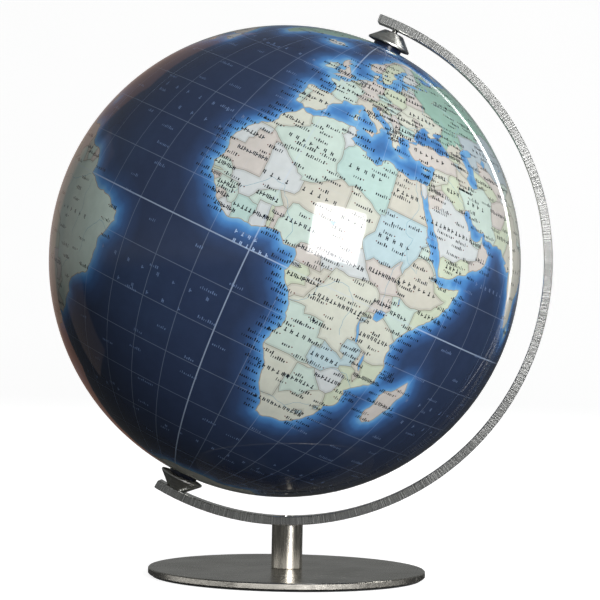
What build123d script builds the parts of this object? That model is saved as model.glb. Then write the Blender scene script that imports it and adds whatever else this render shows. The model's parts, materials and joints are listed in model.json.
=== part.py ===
from build123d import *
import math
import os

# Desktop globe on a stand: a printed plastic ball turns between two pivot screws in a bent steel
# arm, which one screw clamps to a short post on a round steel plate.
# Frame: millimetres, origin at the centre of the base's underside, +Z up, +X towards the bulge of
# the arm. The arm and the pole axis lie in the XZ plane.

# Ball
BALL_R = 125.0
SKIN_THICKNESS = 0.25
SHELL_THICKNESS = 2.0
GLUE_GAP = 0.05
BALL_X = -4.0
BALL_Z = 167.2
AXIS_TILT = 24.6
LAP_RING_HEIGHT = 12.0
LAP_RING_THICKNESS = 1.6

# Meridian arm
ARM_INNER_R = 135.2
ARM_THICKNESS = 4.6
ARM_WIDTH = 10.0
ARM_X = -2.12
ARM_Z = 167.22
ARM_OVERHANG = 10.5
ARM_END_FILLET = 0.8
ARM_EDGE_CHAMFER = 0.3

# Base and post
PLATE_R = 73.5
PLATE_THICKNESS = 3.5
PLATE_CHAMFER = 0.5
FELT_R = 71.5
FELT_THICKNESS = 1.0
POST_R = 8.2
POST_CHAMFER = 0.3

# Pole hardware, as heights along the pole axis from the centre of the ball
COLLAR_R = 7.7
COLLAR_TOP = 127.0
COLLAR_CHAMFER = 0.4
FLANGE_R = 13.0
FLANGE_BOTTOM = 119.0
BOSS_R = 5.5
BOSS_BOTTOM = 108.0
BUSH_BORE_BOTTOM = 110.0
WASHER_R = 4.5
WASHER_BOTTOM = 127.1
WASHER_TOP = 127.85
CONE_RIM = 127.2
CONE_FLOOR = 127.9
CONE_LAND_TOP = 128.0
CONE_TOP = 134.1
CONE_WIDE_R = 11.7
CONE_RECESS_R = 10.7
CONE_NARROW_R = 5.4
CONE_TIP_FILLET = 0.5
PIN_END = 112.0

# Screws: shank radius, head radius, length, socket width across flats, socket depth
PIVOT_SHANK_R = 1.5
PIVOT_HEAD_R = 2.8
PIVOT_HEAD_DROP = 0.15
PIVOT_SOCKET = (2.0, 1.1)
ARM_SCREW = {"shank_r": 2.0, "head_r": 4.0, "length": 14.0, "socket": (2.5, 1.4)}
ARM_SCREW_DROP = 0.4
BASE_SCREW = {"shank_r": 3.0, "head_r": 5.9, "length": 14.0, "socket": (4.0, 2.2)}
HEAD_LAND = 0.2
SCREW_CLEARANCE = 0.03
PIVOT_RUNNING_CLEARANCE = 0.05
PIN_PASSAGE_CLEARANCE = 0.15
HOLE_EXTRA_DEPTH = 0.5

ARM_OUTER_R = ARM_INNER_R + ARM_THICKNESS
SHELL_OUTER_R = BALL_R - SKIN_THICKNESS - GLUE_GAP
SHELL_INNER_R = SHELL_OUTER_R - SHELL_THICKNESS
POLE_HOLE_R = COLLAR_R + GLUE_GAP
PLATE_TOP = FELT_THICKNESS + PLATE_THICKNESS
RISING = (Align.CENTER, Align.CENTER, Align.MIN)


def spun(points):
    """A solid turned about Z from a closed outline of (radius, height) corners."""
    outline = Polyline(*[(r, h) for r, h in points], close=True)
    return revolve(Plane.XZ * make_face(outline), Axis.Z)


def hemisphere(outer_r, inner_r, hole_r):
    """Upper half of a hollow ball about the origin, with a round hole at its pole."""
    half = math.sqrt(0.5)
    outer_top = math.sqrt(outer_r**2 - hole_r**2)
    inner_top = math.sqrt(inner_r**2 - hole_r**2)
    outline = Curve() + [
        ThreePointArc((outer_r, 0), (outer_r * half, outer_r * half), (hole_r, outer_top)),
        Line((hole_r, outer_top), (hole_r, inner_top)),
        ThreePointArc((hole_r, inner_top), (inner_r * half, inner_r * half), (inner_r, 0)),
        Line((inner_r, 0), (outer_r, 0)),
    ]
    return revolve(Plane.XZ * make_face(outline), Axis.Z)


def screw_outline(shank_r, head_r, length, clearance=0.0):
    """Half outline of a countersunk screw that hangs from z = 0, grown by a clearance."""
    cone_depth = head_r - shank_r
    grown_head = head_r + clearance
    grown_shank = shank_r + clearance
    return [
        (0, 0),
        (grown_head, 0),
        (grown_head, -HEAD_LAND),
        (grown_shank, -HEAD_LAND - cone_depth),
        (grown_shank, -length),
        (0, -length),
    ]


def countersunk_screw(shank_r, head_r, length, socket):
    """A countersunk hexagon-socket screw with its head's face at z = 0 and its shank below."""
    width, depth = socket
    hexagon = RegularPolygon(width / 2, 6, major_radius=False)
    return spun(screw_outline(shank_r, head_r, length)) - extrude(hexagon, amount=-depth)


def screw_pocket(shank_r, head_r, length, lead_in):
    """The hole that seats a countersunk screw, open upwards by lead_in above the head's face."""
    pocket = spun(screw_outline(shank_r, head_r, length, SCREW_CLEARANCE))
    return pocket + Cylinder(head_r + SCREW_CLEARANCE, lead_in, align=RISING)


def pole_direction(pole):
    """Unit vector in XZ from the ball's centre to a pole: +1 is north, -1 is south."""
    tilt = math.radians(AXIS_TILT)
    return pole * math.sin(tilt), pole * math.cos(tilt)


def pole_frame(pole):
    """Location at the ball's centre whose local +Z points to the chosen pole."""
    turn = AXIS_TILT if pole > 0 else AXIS_TILT + 180
    return Location((BALL_X, 0, BALL_Z)) * Rotation(0, turn, 0)


def arm_reach(pole, radius):
    """Distance from the ball's centre, along the pole axis, to a circle about the arm's centre."""
    dx, dz = BALL_X - ARM_X, BALL_Z - ARM_Z
    ux, uz = pole_direction(pole)
    along = dx * ux + dz * uz
    return -along + math.sqrt(along**2 + radius**2 - dx**2 - dz**2)


def pivot_angle(pole):
    """Angle about the arm's centre, in degrees from +X, where the pole axis crosses the arm."""
    reach = arm_reach(pole, ARM_INNER_R + ARM_THICKNESS / 2)
    ux, uz = pole_direction(pole)
    return math.degrees(math.atan2(BALL_Z + reach * uz - ARM_Z, BALL_X + reach * ux - ARM_X))


def pivot_screw_length(pole):
    """Length that takes a pivot screw from just under the arm's face to its end in the bush."""
    return arm_reach(pole, ARM_OUTER_R) - PIVOT_HEAD_DROP - PIN_END


def pivot_head_frame(pole):
    """Location of a pivot screw's head face."""
    return pole_frame(pole) * Pos(0, 0, arm_reach(pole, ARM_OUTER_R) - PIVOT_HEAD_DROP)


def arm_screw_frame():
    """Location of the arm screw's head face, just below the arm's inner face over the post."""
    inner_face = ARM_Z - math.sqrt(ARM_INNER_R**2 - ARM_X**2)
    return Pos(0, 0, inner_face - ARM_SCREW_DROP)


def base_screw_frame():
    """Location of the base screw's head face, level with the underside of the plate."""
    return Pos(0, 0, FELT_THICKNESS) * Rotation(180, 0, 0)


def base_felt():
    return Cylinder(FELT_R, FELT_THICKNESS, align=RISING)


def base_plate():
    plate = Pos(0, 0, FELT_THICKNESS) * Cylinder(PLATE_R, PLATE_THICKNESS, align=RISING)
    rims = plate.edges().filter_by(GeomType.CIRCLE)
    plate = chamfer(rims, PLATE_CHAMFER)
    pocket = screw_pocket(BASE_SCREW["shank_r"], BASE_SCREW["head_r"], BASE_SCREW["length"], 1.0)
    return plate - base_screw_frame() * pocket


def base_screw():
    return base_screw_frame() * countersunk_screw(**BASE_SCREW)


def post():
    """Round post with its top hollowed to the arm's outer curve and a blind hole at each end."""
    height = ARM_Z - ARM_INNER_R - PLATE_TOP
    body = Pos(0, 0, PLATE_TOP) * Cylinder(POST_R, height, align=RISING)
    foot = body.edges().filter_by(GeomType.CIRCLE).sort_by(Axis.Z)[0]
    body = chamfer(foot, POST_CHAMFER)
    seat = Pos(ARM_X, 0, ARM_Z) * Rotation(90, 0, 0) * Cylinder(ARM_OUTER_R, 4 * POST_R)
    body -= seat
    for screw, frame in ((BASE_SCREW, base_screw_frame()), (ARM_SCREW, arm_screw_frame())):
        depth = screw["length"] + HOLE_EXTRA_DEPTH
        hole = Cylinder(screw["shank_r"] + SCREW_CLEARANCE, depth, align=RISING)
        body -= frame * Rotation(180, 0, 0) * hole
    return body


def meridian_arm():
    """Flat bar bent to a little over half a circle, drilled at its two ends and over the post."""
    overhang = math.degrees(ARM_OVERHANG / (ARM_INNER_R + ARM_THICKNESS / 2))
    start = pivot_angle(-1) - overhang
    end = pivot_angle(1) + overhang

    def rim_point(radius, angle):
        turn = math.radians(angle)
        return ARM_X + radius * math.cos(turn), ARM_Z + radius * math.sin(turn)

    middle = (start + end) / 2
    outline = Curve() + [
        ThreePointArc(*[rim_point(ARM_OUTER_R, a) for a in (start, middle, end)]),
        Line(rim_point(ARM_OUTER_R, end), rim_point(ARM_INNER_R, end)),
        ThreePointArc(*[rim_point(ARM_INNER_R, a) for a in (end, middle, start)]),
        Line(rim_point(ARM_INNER_R, start), rim_point(ARM_OUTER_R, start)),
    ]
    bar = extrude(Plane.XZ * make_face(outline), amount=ARM_WIDTH / 2, both=True)
    bar = fillet(bar.edges().filter_by(Axis.Y), ARM_END_FILLET)
    bar = chamfer(bar.edges().filter_by(GeomType.CIRCLE).filter_by(on_long_edge), ARM_EDGE_CHAMFER)
    for pole in (1, -1):
        pocket = screw_pocket(PIVOT_SHANK_R, PIVOT_HEAD_R, ARM_THICKNESS * 2, 1.0)
        bar -= pivot_head_frame(pole) * pocket
    pocket = screw_pocket(ARM_SCREW["shank_r"], ARM_SCREW["head_r"], ARM_SCREW["length"], 2.0)
    return bar - arm_screw_frame() * pocket


def on_long_edge(edge):
    """True for the four arcs that run the whole length of the arm."""
    return edge.radius > ARM_INNER_R / 2


def arm_screw():
    return arm_screw_frame() * countersunk_screw(**ARM_SCREW)


def pivot_screw(pole):
    length = pivot_screw_length(pole)
    screw = countersunk_screw(PIVOT_SHANK_R, PIVOT_HEAD_R, length, PIVOT_SOCKET)
    return pivot_head_frame(pole) * screw


def spacer_cone(pole):
    """Turned steel cap: a cone on a short land, recessed underneath over its washer."""
    bore_r = PIVOT_SHANK_R + PIN_PASSAGE_CLEARANCE
    cone = spun([
        (bore_r, CONE_FLOOR),
        (CONE_RECESS_R, CONE_FLOOR),
        (CONE_RECESS_R, CONE_RIM),
        (CONE_WIDE_R, CONE_RIM),
        (CONE_WIDE_R, CONE_LAND_TOP),
        (CONE_NARROW_R, CONE_TOP),
        (bore_r, CONE_TOP),
    ])
    tip_edges = cone.edges().filter_by(GeomType.CIRCLE).sort_by(Axis.Z)[-2:]
    cone = fillet(tip_edges.sort_by(SortBy.RADIUS)[-1], CONE_TIP_FILLET)
    return pole_frame(pole) * cone


def thrust_washer(pole):
    bore_r = PIVOT_SHANK_R + PIN_PASSAGE_CLEARANCE
    washer = spun([
        (bore_r, WASHER_BOTTOM),
        (WASHER_R, WASHER_BOTTOM),
        (WASHER_R, WASHER_TOP),
        (bore_r, WASHER_TOP),
    ])
    return pole_frame(pole) * washer


def pole_bush(pole):
    """Moulded bearing: a collar out through the pole hole, a glued flange inside and a blind bore."""
    flange_sphere_r = SHELL_INNER_R - GLUE_GAP
    bush = Pos(0, 0, FLANGE_BOTTOM) * Cylinder(FLANGE_R, COLLAR_TOP - FLANGE_BOTTOM, align=RISING)
    bush &= Sphere(flange_sphere_r)
    collar = Pos(0, 0, FLANGE_BOTTOM) * Cylinder(COLLAR_R, COLLAR_TOP - FLANGE_BOTTOM, align=RISING)
    collar = chamfer(collar.edges().filter_by(GeomType.CIRCLE).sort_by(Axis.Z)[-1], COLLAR_CHAMFER)
    boss = Pos(0, 0, BOSS_BOTTOM) * Cylinder(BOSS_R, FLANGE_BOTTOM - BOSS_BOTTOM, align=RISING)
    bore_r = PIVOT_SHANK_R + PIVOT_RUNNING_CLEARANCE
    bore = Pos(0, 0, BUSH_BORE_BOTTOM) * Cylinder(bore_r, COLLAR_TOP, align=RISING)
    return pole_frame(pole) * (bush + collar + boss - bore)


def hemisphere_shell(pole):
    return pole_frame(pole) * hemisphere(SHELL_OUTER_R, SHELL_INNER_R, POLE_HOLE_R)


def map_skin(pole):
    return pole_frame(pole) * hemisphere(BALL_R, BALL_R - SKIN_THICKNESS, POLE_HOLE_R)


def equator_joint_ring():
    """Ring glued inside the equator, lapping both shells."""
    half_height = LAP_RING_HEIGHT / 2
    ring_r = math.sqrt(SHELL_INNER_R**2 - half_height**2) - GLUE_GAP
    ring = Cylinder(ring_r, LAP_RING_HEIGHT) - Cylinder(ring_r - LAP_RING_THICKNESS, LAP_RING_HEIGHT)
    return pole_frame(1) * ring


nodes = {
    "base_felt": base_felt(),
    "base_plate": base_plate(),
    "base_screw": base_screw(),
    "post": post(),
    "meridian_arm": meridian_arm(),
    "arm_screw": arm_screw(),
    "equator_joint_ring": equator_joint_ring(),
}
for name, pole in (("north", 1), ("south", -1)):
    nodes[name + "_pivot_screw"] = pivot_screw(pole)
    nodes[name + "_spacer_cone"] = spacer_cone(pole)
    nodes[name + "_thrust_washer"] = thrust_washer(pole)
    nodes[name + "_pole_bush"] = pole_bush(pole)
    nodes[name + "_hemisphere_shell"] = hemisphere_shell(pole)
    nodes[name + "_map_skin"] = map_skin(pole)

os.makedirs("parts", exist_ok=True)
for name, solid in nodes.items():
    export_step(solid, "parts/" + name + ".step")
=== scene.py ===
import json
import math
import random
from collections import deque

import bpy
from mathutils import Matrix, Vector
from mathutils.geometry import delaunay_2d_cdt
from mathutils.kdtree import KDTree


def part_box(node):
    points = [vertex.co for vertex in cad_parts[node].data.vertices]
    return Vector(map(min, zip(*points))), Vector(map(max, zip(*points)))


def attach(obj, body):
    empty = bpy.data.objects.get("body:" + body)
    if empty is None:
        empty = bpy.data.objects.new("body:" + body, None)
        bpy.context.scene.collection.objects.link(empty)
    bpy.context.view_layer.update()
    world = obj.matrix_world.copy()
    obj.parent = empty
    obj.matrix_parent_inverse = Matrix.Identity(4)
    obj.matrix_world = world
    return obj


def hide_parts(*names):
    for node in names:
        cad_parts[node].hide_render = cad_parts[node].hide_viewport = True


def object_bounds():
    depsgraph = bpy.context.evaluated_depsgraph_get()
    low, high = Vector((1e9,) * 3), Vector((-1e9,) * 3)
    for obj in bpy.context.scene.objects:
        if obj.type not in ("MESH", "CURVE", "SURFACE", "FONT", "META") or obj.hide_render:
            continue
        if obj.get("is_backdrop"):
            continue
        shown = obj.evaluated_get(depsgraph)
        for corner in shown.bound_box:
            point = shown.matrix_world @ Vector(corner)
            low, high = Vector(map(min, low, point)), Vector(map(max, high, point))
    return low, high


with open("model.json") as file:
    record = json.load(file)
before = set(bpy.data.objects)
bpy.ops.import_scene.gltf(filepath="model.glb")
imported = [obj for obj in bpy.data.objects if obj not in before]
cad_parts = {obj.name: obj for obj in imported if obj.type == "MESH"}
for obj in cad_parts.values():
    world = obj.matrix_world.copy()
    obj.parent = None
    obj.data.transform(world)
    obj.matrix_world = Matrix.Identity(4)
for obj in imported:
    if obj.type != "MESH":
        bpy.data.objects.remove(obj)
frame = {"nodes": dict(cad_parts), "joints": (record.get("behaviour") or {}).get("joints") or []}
cad_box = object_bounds()

# The ball turns about the pole axis of the frame's one joint.
SPIN = frame["joints"][0]
CENTRE = Vector(SPIN["pos_m"])
NORTH = Vector(SPIN["axis"]).normalized()
BEHIND = Vector((0, 1, 0))
ACROSS = BEHIND.cross(NORTH)
BALL_R = (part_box("north_map_skin")[1].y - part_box("north_map_skin")[0].y) / 2
SKIN_THICKNESS = 0.00025
SKIN_INNER_R = BALL_R - SKIN_THICKNESS
MERIDIAN_TURN = -92.2  # degrees by which the printed prime meridian is turned from +X
DEGREE = math.pi / 180

# ---------------------------------------------------------------- geography
# Simplified outlines, in degrees east and north: a longitude and a latitude for each corner, in order.
LAND = {
    "africa": """
-5.9 35.8 -5.3 35.9 -4 35.2 -2.9 35.3 -2 35.1 -1 35.7 0 36 1 36.5 3 36.9 5 36.8 6.4 37.1 8 37 9.8 37.3
10.3 36.8 11.1 37 10.5 36.3 11 35.4 10.7 34.7 10.1 33.9 11 33.6 11.5 33.1 13.2 32.9 15.2 32.4 15.4 31.6
16.6 31.2 18 30.6 19 30.3 20.1 31 20 32.1 21.6 32.9 22.9 32.7 24 32 25.1 31.6 27.3 31.3 28.9 30.9
29.9 31.2 31 31.6 32.3 31.3 32.6 30 32.7 29.3 33.3 28.2 33.9 27.1 34.4 25.9 35.5 24 36.9 22 37.3 20.5
37.3 19.2 38.5 18.1 39.5 15.6 41.2 14.6 42.7 13 43.2 12.3 42.7 11.5 43.6 11.1 45 10.5 46.6 10.8
49.5 11.3 51.2 11.9 51.1 10.5 50.1 8.3 48.9 6.2 48 4.5 46 2.5 43.5 .6 42 -1 40.9 -2.3 39.7 -4 38.8 -6
39.5 -7 39.4 -8.8 40.5 -10.6 40.6 -12.8 40.7 -15 39.8 -16.4 37.5 -17.7 36 -18.8 34.8 -19.9 35.5 -22
35.5 -23.8 34.5 -24.8 32.9 -25.5 32.8 -27 32.3 -28.6 31 -29.9 30 -31.3 28.3 -32.8 26.5 -33.7 25.7 -34
23.6 -34 21.8 -34.4 20 -34.8 18.8 -34.1 18.4 -34.2 18.2 -32.8 18.3 -31.8 17.3 -30.3 16.4 -28.6
15.2 -26.8 14.6 -24.8 14.4 -22.6 13.4 -20.8 12 -18.4 11.8 -16.8 12.5 -14 13.7 -12.2 13.8 -10.7 13.1 -9.1
13.2 -8.2 12.3 -6.1 11.8 -4.8 11.1 -3.9 9.6 -2.4 8.8 -.7 9.4 .3 9.8 2 9.7 3.5 8.9 4.6 7.4 4.5 6.1 4.3
5.3 5.3 4.5 6.3 3.4 6.4 1.2 6.1 -.2 5.5 -1.9 4.8 -3 5.1 -4.6 5.2 -6 4.8 -7.5 4.4 -9 5 -10.7 6.3
-12.5 7.4 -13.2 8.8 -13.7 9.5 -15 10.9 -16.7 12.4 -16.8 13.4 -17.5 14.7 -16.5 16 -16.1 18.5 -16.4 19.6
-17 20.9 -16.9 21.9 -16 23.6 -14.6 26 -13.2 27 -12.9 27.9 -11.5 28.3 -10.2 29.2 -9.6 30.3 -9.8 31.4
-9.2 32.5 -7.6 33.6 -6.8 34.1 -6.2 35""",
    "eurasia": """
32.6 30 32.3 31.3 34.2 31.3 34.9 32.5 35.5 33.9 35.8 35.5 36.1 36.5 34.7 36.8 33.9 36.2 32.4 36.1
30.6 36.8 29.5 36.2 28.2 36.7 27.3 37.4 26.4 38.3 26.8 39.2 26.2 40 27.3 40.4 29 40.5 29.1 41.1
31.2 41.1 33.4 42 35 42 36.4 41.3 38.3 41 41.5 41.5 41.4 42.5 39.2 44 37 45.1 37.9 46.2 39.2 47.2
37.5 46.9 35.2 46.3 35 45.7 36.5 45.3 35.3 45 33.6 44.4 32.6 45.4 33.5 46 31.5 46.6 30.7 46.4 29.7 45.3
28.7 44.1 27.9 42.8 28.1 41.7 29 41.3 28 41 26.4 40.3 26 40.8 24.2 40.8 23.6 40.2 22.8 40.5 22.9 39.2
24 37.8 23.1 37.9 23.1 36.5 21.7 36.8 21.2 38.2 20.2 39.4 19.4 40.4 19.5 41.7 17.6 42.9 15.2 44.2
14.5 45.3 13.7 44.9 13.6 45.7 12.3 45.3 12.5 44.3 13.6 43.6 14.3 42.4 16.1 41.9 17.5 40.9 18.5 40.2
17 40.5 16.6 39.7 17.1 39 16.1 38 15.7 38.1 16 39 15 40.2 14.2 40.9 12.3 41.8 10.7 42.9 10.1 44 8.8 44.4
7.5 43.8 6.2 43.1 4.3 43.4 3.1 43.2 3.2 42 .8 40.8 -.3 39.5 .1 38.7 -.8 37.6 -2.1 36.8 -4.4 36.7
-5.5 36.1 -6.6 36.9 -8.9 37 -8.8 38.4 -9.4 38.8 -8.7 40.5 -8.8 42 -9.2 43.1 -7.8 43.7 -4 43.4 -1.7 43.4
-1.1 45.5 -2.3 47.2 -4.5 47.9 -4.6 48.5 -1.6 48.6 -1.9 49.7 0 49.4 1.6 50.2 1.8 51 3.4 51.4 4.6 52.6
6 53.4 8.6 53.8 8.6 55.3 8.2 56.7 10.6 57.7 10.5 56.4 9.8 55 10.9 54 12.6 54.4 14.3 53.9 16.5 54.5
19.3 54.4 21 55.4 21.4 57.5 23.8 57 24.4 58.3 23.6 59.1 28 59.5 30 59.9 28.4 60.6 22.9 59.9 21.4 61.2
22.2 63.1 25.3 65 24.1 65.8 21.6 65.1 20 63.6 17.4 62 17.3 60.7 18.9 59.8 16.6 58.3 16.3 56.5 14.4 55.6
12.9 55.5 11.9 57.6 11.2 59 8.3 58.2 5.6 58.8 5 61.5 7 63 10.5 64.5 12.8 66.3 15.2 68.2 19.2 69.8
25.7 71.1 31.1 70.3 34 69.3 41 67.2 40 66.2 33 66.8 34.9 64.4 38 64 37.2 65.2 39.8 64.6 42.2 66.4
44 66.1 43.6 68.6 46.5 68 46.4 66.8 53.5 68.3 60 68.5 61 69.8 68 68.4 66.8 71 68.7 72.6 72.7 72.8
72 68.5 74 66.6 74 70.5 75.3 72.5 80.5 72 80.7 73.6 87 75 96 76.1 104 77.7 113 76.2 106 73.3 113.5 73.5
123.5 73 129 71.6 133 71.5 140 72.5 150 71.6 160 69.8 170.5 69.9 176 69.7 180 68.9 180 65 177.4 62.6
170.5 60.1 163.3 59.6 162.4 56.3 160 53.2 156.7 51.1 156 57 161.8 60.4 164 62.5 157 61.6 154.5 59.6
145.5 59.4 142 59 135.2 54.7 141 53 140.4 48.3 135.5 44.2 130.8 42.3 127.6 39.6 129.4 37 129.2 35.2
126.4 34.5 126.7 37.5 125 38.3 124.4 40 121.3 38.9 121.9 40.8 119.3 39.4 117.8 39 119 37.4 122.5 37.2
119.3 35 121.7 32 122 30 120 26.6 117 23.5 113.4 22.1 110.4 20.5 109.8 21.5 108.2 21.6 105.7 19
108.6 15.6 109.3 11.8 106.7 10.3 105 8.7 104.8 10.3 102.6 12 100.9 13.4 100 13.2 99.2 10 101.3 6.9
103.1 5.4 104.2 1.5 103.4 1.4 101.2 3 100.2 6.3 98.4 8.2 98.7 12 97.6 16.3 94.4 16 94.4 18.2 92.2 20.9
91.7 22.5 90.2 22 87 21.4 86.7 20.3 85 19.5 82.2 16.7 80.2 15.4 80.2 13.2 79.8 10.4 78.1 8.4 77.5 8.1
76.2 10 74.4 14.5 72.9 18.5 72.7 21.3 71 20.8 69 22.3 70.2 22.9 67.4 23.9 66.6 25.2 61.6 25.1 57.4 25.7
56.8 27.1 54.5 26.6 51.4 27.9 50.2 30 48.7 30.3 48.1 29.4 50 26.7 50.2 25.6 51 26.1 51.6 24.5 54.2 24.2
56.3 26.3 56.5 24.6 58.6 23.6 59.8 22.5 57.8 19 55.2 17.5 52.2 15.6 49 14.4 45 12.8 43.5 12.7 42.8 15.2
41.2 18.6 39 21.6 37.3 24.6 35.2 28 34.9 29.5 34.3 27.8 33.2 28.6""",
    "chukotka": "-180 68.9 -175 67.4 -169.9 66.1 -172.5 64.4 -178.3 66 -180 65",
    "north_america": """
-168 65.6 -162 66.3 -166.7 68.3 -163 69.5 -156.6 71.3 -141 69.6 -133 69.5 -128 70.3 -117 69.9 -114 68.1
-102 67.8 -96 68.1 -94.6 71.8 -91.5 69.6 -85.5 69.7 -81.4 69 -81.3 67.6 -87 64.8 -94.5 61.5 -94.7 58.8
-92.4 57 -88 56.5 -82.3 55.2 -82.2 52.9 -80 51.3 -78.9 52.6 -79.7 54.7 -76.6 56.9 -77.8 59.5 -78 62.4
-73.7 62.4 -69.6 60.9 -69.4 59 -67 58.4 -64.8 60.3 -61.5 56.5 -57.2 54 -55.8 52.3 -60 50.3 -66.5 50.2
-71 47 -65 49.2 -65 47 -61.5 45.7 -60 46.2 -64 44.5 -65.9 43.6 -64.5 45.4 -67 44.8 -70.5 43.3 -70 41.7
-73.8 40.8 -74.3 39.5 -75.9 37.2 -75.6 35.3 -79 33.3 -81.2 31.7 -80.1 26.9 -80.5 25.2 -81.8 26.2
-82.8 28.3 -84.2 30 -85.5 29.7 -89.3 30.3 -89.3 29.1 -94 29.6 -97.3 27.4 -97.7 22.7 -96.2 19.3
-94.4 18.2 -90.7 19.5 -90.2 21.1 -87 21.5 -88.2 18 -88.8 15.9 -83.2 15 -83.7 11 -82.2 9.1 -79.6 9.6
-77.3 8.6 -77.9 7.3 -79.6 8.9 -80.5 7.3 -83 8.3 -85.8 10.2 -87.6 12.9 -92.3 14.6 -94.8 16.2 -97.5 15.9
-102 18 -105.6 20.4 -105.5 22.4 -109.3 26 -112.8 30.2 -114.7 31.7 -112.8 28 -109.5 23.1 -112.2 25
-115 27.8 -114.2 28.6 -117.2 32.6 -120.6 34.5 -123 38.2 -124.3 40.4 -124 45 -124.6 48.3 -122.6 47.6
-123.2 49.3 -128 52.3 -130.3 54.8 -135 58.4 -139.5 59.7 -146 60.5 -151.8 59.2 -151 61 -156.5 57.1
-164.7 54.5 -157.5 58.7 -162 58.7 -165.8 61.5 -161 63.6 -161.2 64.6 -166.4 64.6""",
    "south_america": """
-77.3 8.6 -75.5 10.5 -71.7 12.4 -71.5 10.9 -70 12.1 -68.2 10.8 -62 10.7 -60.9 8.7 -57.2 6 -54 5.8
-51.6 4.2 -50 1.7 -50.3 -.2 -48 -.8 -44.3 -2.6 -41 -2.9 -38.5 -3.7 -35.4 -5.3 -34.8 -7.5 -37 -11.2
-38.6 -13 -39 -17 -41 -22 -44.5 -23.1 -48.5 -26 -48.8 -28.5 -52.4 -33 -54.6 -34.9 -58.3 -34 -56.8 -36.5
-57.8 -38.2 -62.2 -39 -65 -41 -63.8 -42.5 -65.4 -44.8 -67.4 -46.2 -65.9 -47.6 -69 -50.7 -68.4 -52.4
-71 -53.8 -75 -51 -75.5 -47 -73 -44 -73.8 -41 -73.3 -37.3 -71.5 -32 -70.5 -25.5 -70.2 -20.5 -70.4 -18.3
-76.2 -14 -78.6 -9 -81.2 -6 -80 -3.2 -80.9 -2.2 -80 .5 -77.3 3.8 -77.9 7.3""",
    "tierra_del_fuego": "-68.5 -52.7 -65.2 -54.7 -68.5 -55.5 -71.5 -54.3",
    "greenland": """
-73 78.3 -60.5 81.9 -33 83.6 -12 81.4 -19.5 76.5 -22 72.5 -26.5 69 -33 67.5 -39.5 65.5 -43.5 60 -48.5 61
-53.7 66.5 -51.2 69.5 -55.5 72.8 -58.5 75.6 -71 77""",
    "iceland": "-24.3 65.5 -22.5 66.4 -20.3 65.7 -16.2 66.5 -13.6 65.1 -15 64.3 -18.7 63.4 -22.7 63.9",
    "britain": """
-5.6 50.1 -3.5 50.3 1.4 51.2 .7 51.6 1.7 52.6 .2 53 -1.6 55.4 -3 56 -1.9 57.6 -4 57.6 -3.1 58.6 -5 58.5
-5.9 57 -4.8 54.8 -3.1 54.8 -3 53.4 -4.5 53.2 -4.2 52.3 -5.2 51.8 -3 51.5 -4.3 51.1""",
    "ireland": "-6.3 52.2 -6 53.5 -5.6 54.6 -7.4 55.3 -8.6 54.4 -10 54.2 -9.2 53 -10.3 51.8 -8.5 51.7",
    "zealand": "11.1 55.7 12.5 56 12 54.9",
    "sicily": "12.5 38 15.5 38.2 15.2 36.7 12.6 37.6",
    "sardinia": "8.3 40.9 9.5 41.2 9.6 39.2 8.5 39",
    "corsica": "8.7 42.5 9.4 43 9.3 41.5 8.7 41.8",
    "crete": "23.6 35.5 26.2 35.2 24.8 34.9",
    "cyprus": "32.4 35 34.5 35.6 33 34.6",
    "svalbard": "10.8 79 18 80.2 26 80.2 21 78.5 17 76.6",
    "novaya_zemlya": "52 71.5 55.5 73.6 68.5 76.8 57.5 73 57 70.7",
    "severnaya_zemlya": "95.5 80.8 104 79.3 100 78.2",
    "new_siberia": "138 75.8 150 75.1 143 73.4",
    "madagascar": """
49.3 -12 50.4 -15.4 49.6 -17 47.3 -24.6 45.5 -25.5 44 -24.8 43.4 -22.3 44.4 -20 44.1 -17.5 44.6 -16.2
46.5 -15.6 48 -13.7""",
    "sri_lanka": "80 9.7 81.2 8.5 81.8 7.2 80.6 6 79.8 7.4",
    "honshu": """
130.9 34.1 133 35.5 136 35.8 137 37.3 139.4 38.4 140.1 41 141.4 41.3 142 39.5 140.8 35.8 138.2 34.6
135.8 33.5 135 34.5""",
    "hokkaido": "140.2 42.3 141.8 45.4 144.3 44 145.4 43.3 143.2 42",
    "kyushu": "130 33.4 131.8 33.4 131.4 31.4 130.3 31.2",
    "shikoku": "132.4 33.4 134.5 34.2 134 33.4 133 32.8",
    "sakhalin": "142 46 142.2 49.5 142.7 54.3 143.4 51 143.3 46.7",
    "taiwan": "121.5 25.2 120.9 22 120.1 23.2",
    "hainan": "108.7 19.3 110.6 20.1 110.3 18.8 109.2 18.3",
    "luzon": "120.5 18.5 122.2 18.4 121.6 16.2 124 13 121.5 13.8 119.9 16.3",
    "visayas": "122 11.8 123.2 11.4 125.2 12.3 125 10.2 123 9.3",
    "mindanao": "122 7 123.5 8.7 125.4 9.8 126.5 7.4 125.5 5.7 124 7",
    "borneo": """
109 1.6 111.3 2.6 115.2 5.3 116.8 7 119.2 5.1 117.6 3.5 119 1 117.4 -.2 116.3 -3.2 114.5 -4 111.8 -3.4
110.1 -1.4""",
    "sumatra": "95.3 5.6 97.9 5.2 100.4 2.6 103.5 .2 106 -3.2 105.8 -5.8 102.2 -3.8 99 .3 97 3.3",
    "java": "105.2 -6.7 106.8 -6 110.8 -6.4 114.5 -7.7 114.4 -8.7 110.5 -8.1 106.4 -7.4",
    "lesser_sunda": "116 -8.4 119.5 -8.3 123 -8.3 119.5 -9",
    "timor": "123.6 -10.3 125 -8.7 127.2 -8.4 125 -9.6",
    "sulawesi": """
119.4 -5.5 118.8 -2.8 120 .8 125 1.5 124.4 .4 120.3 .4 120.8 -1.2 123.2 -.9 121.5 -1.9 122.6 -4.4
121 -2.8 120.4 -5.6""",
    "halmahera": "127.6 1.8 128.6 1.3 128 -.7",
    "seram": "128 -3.2 130.8 -3 129.5 -3.5",
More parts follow.
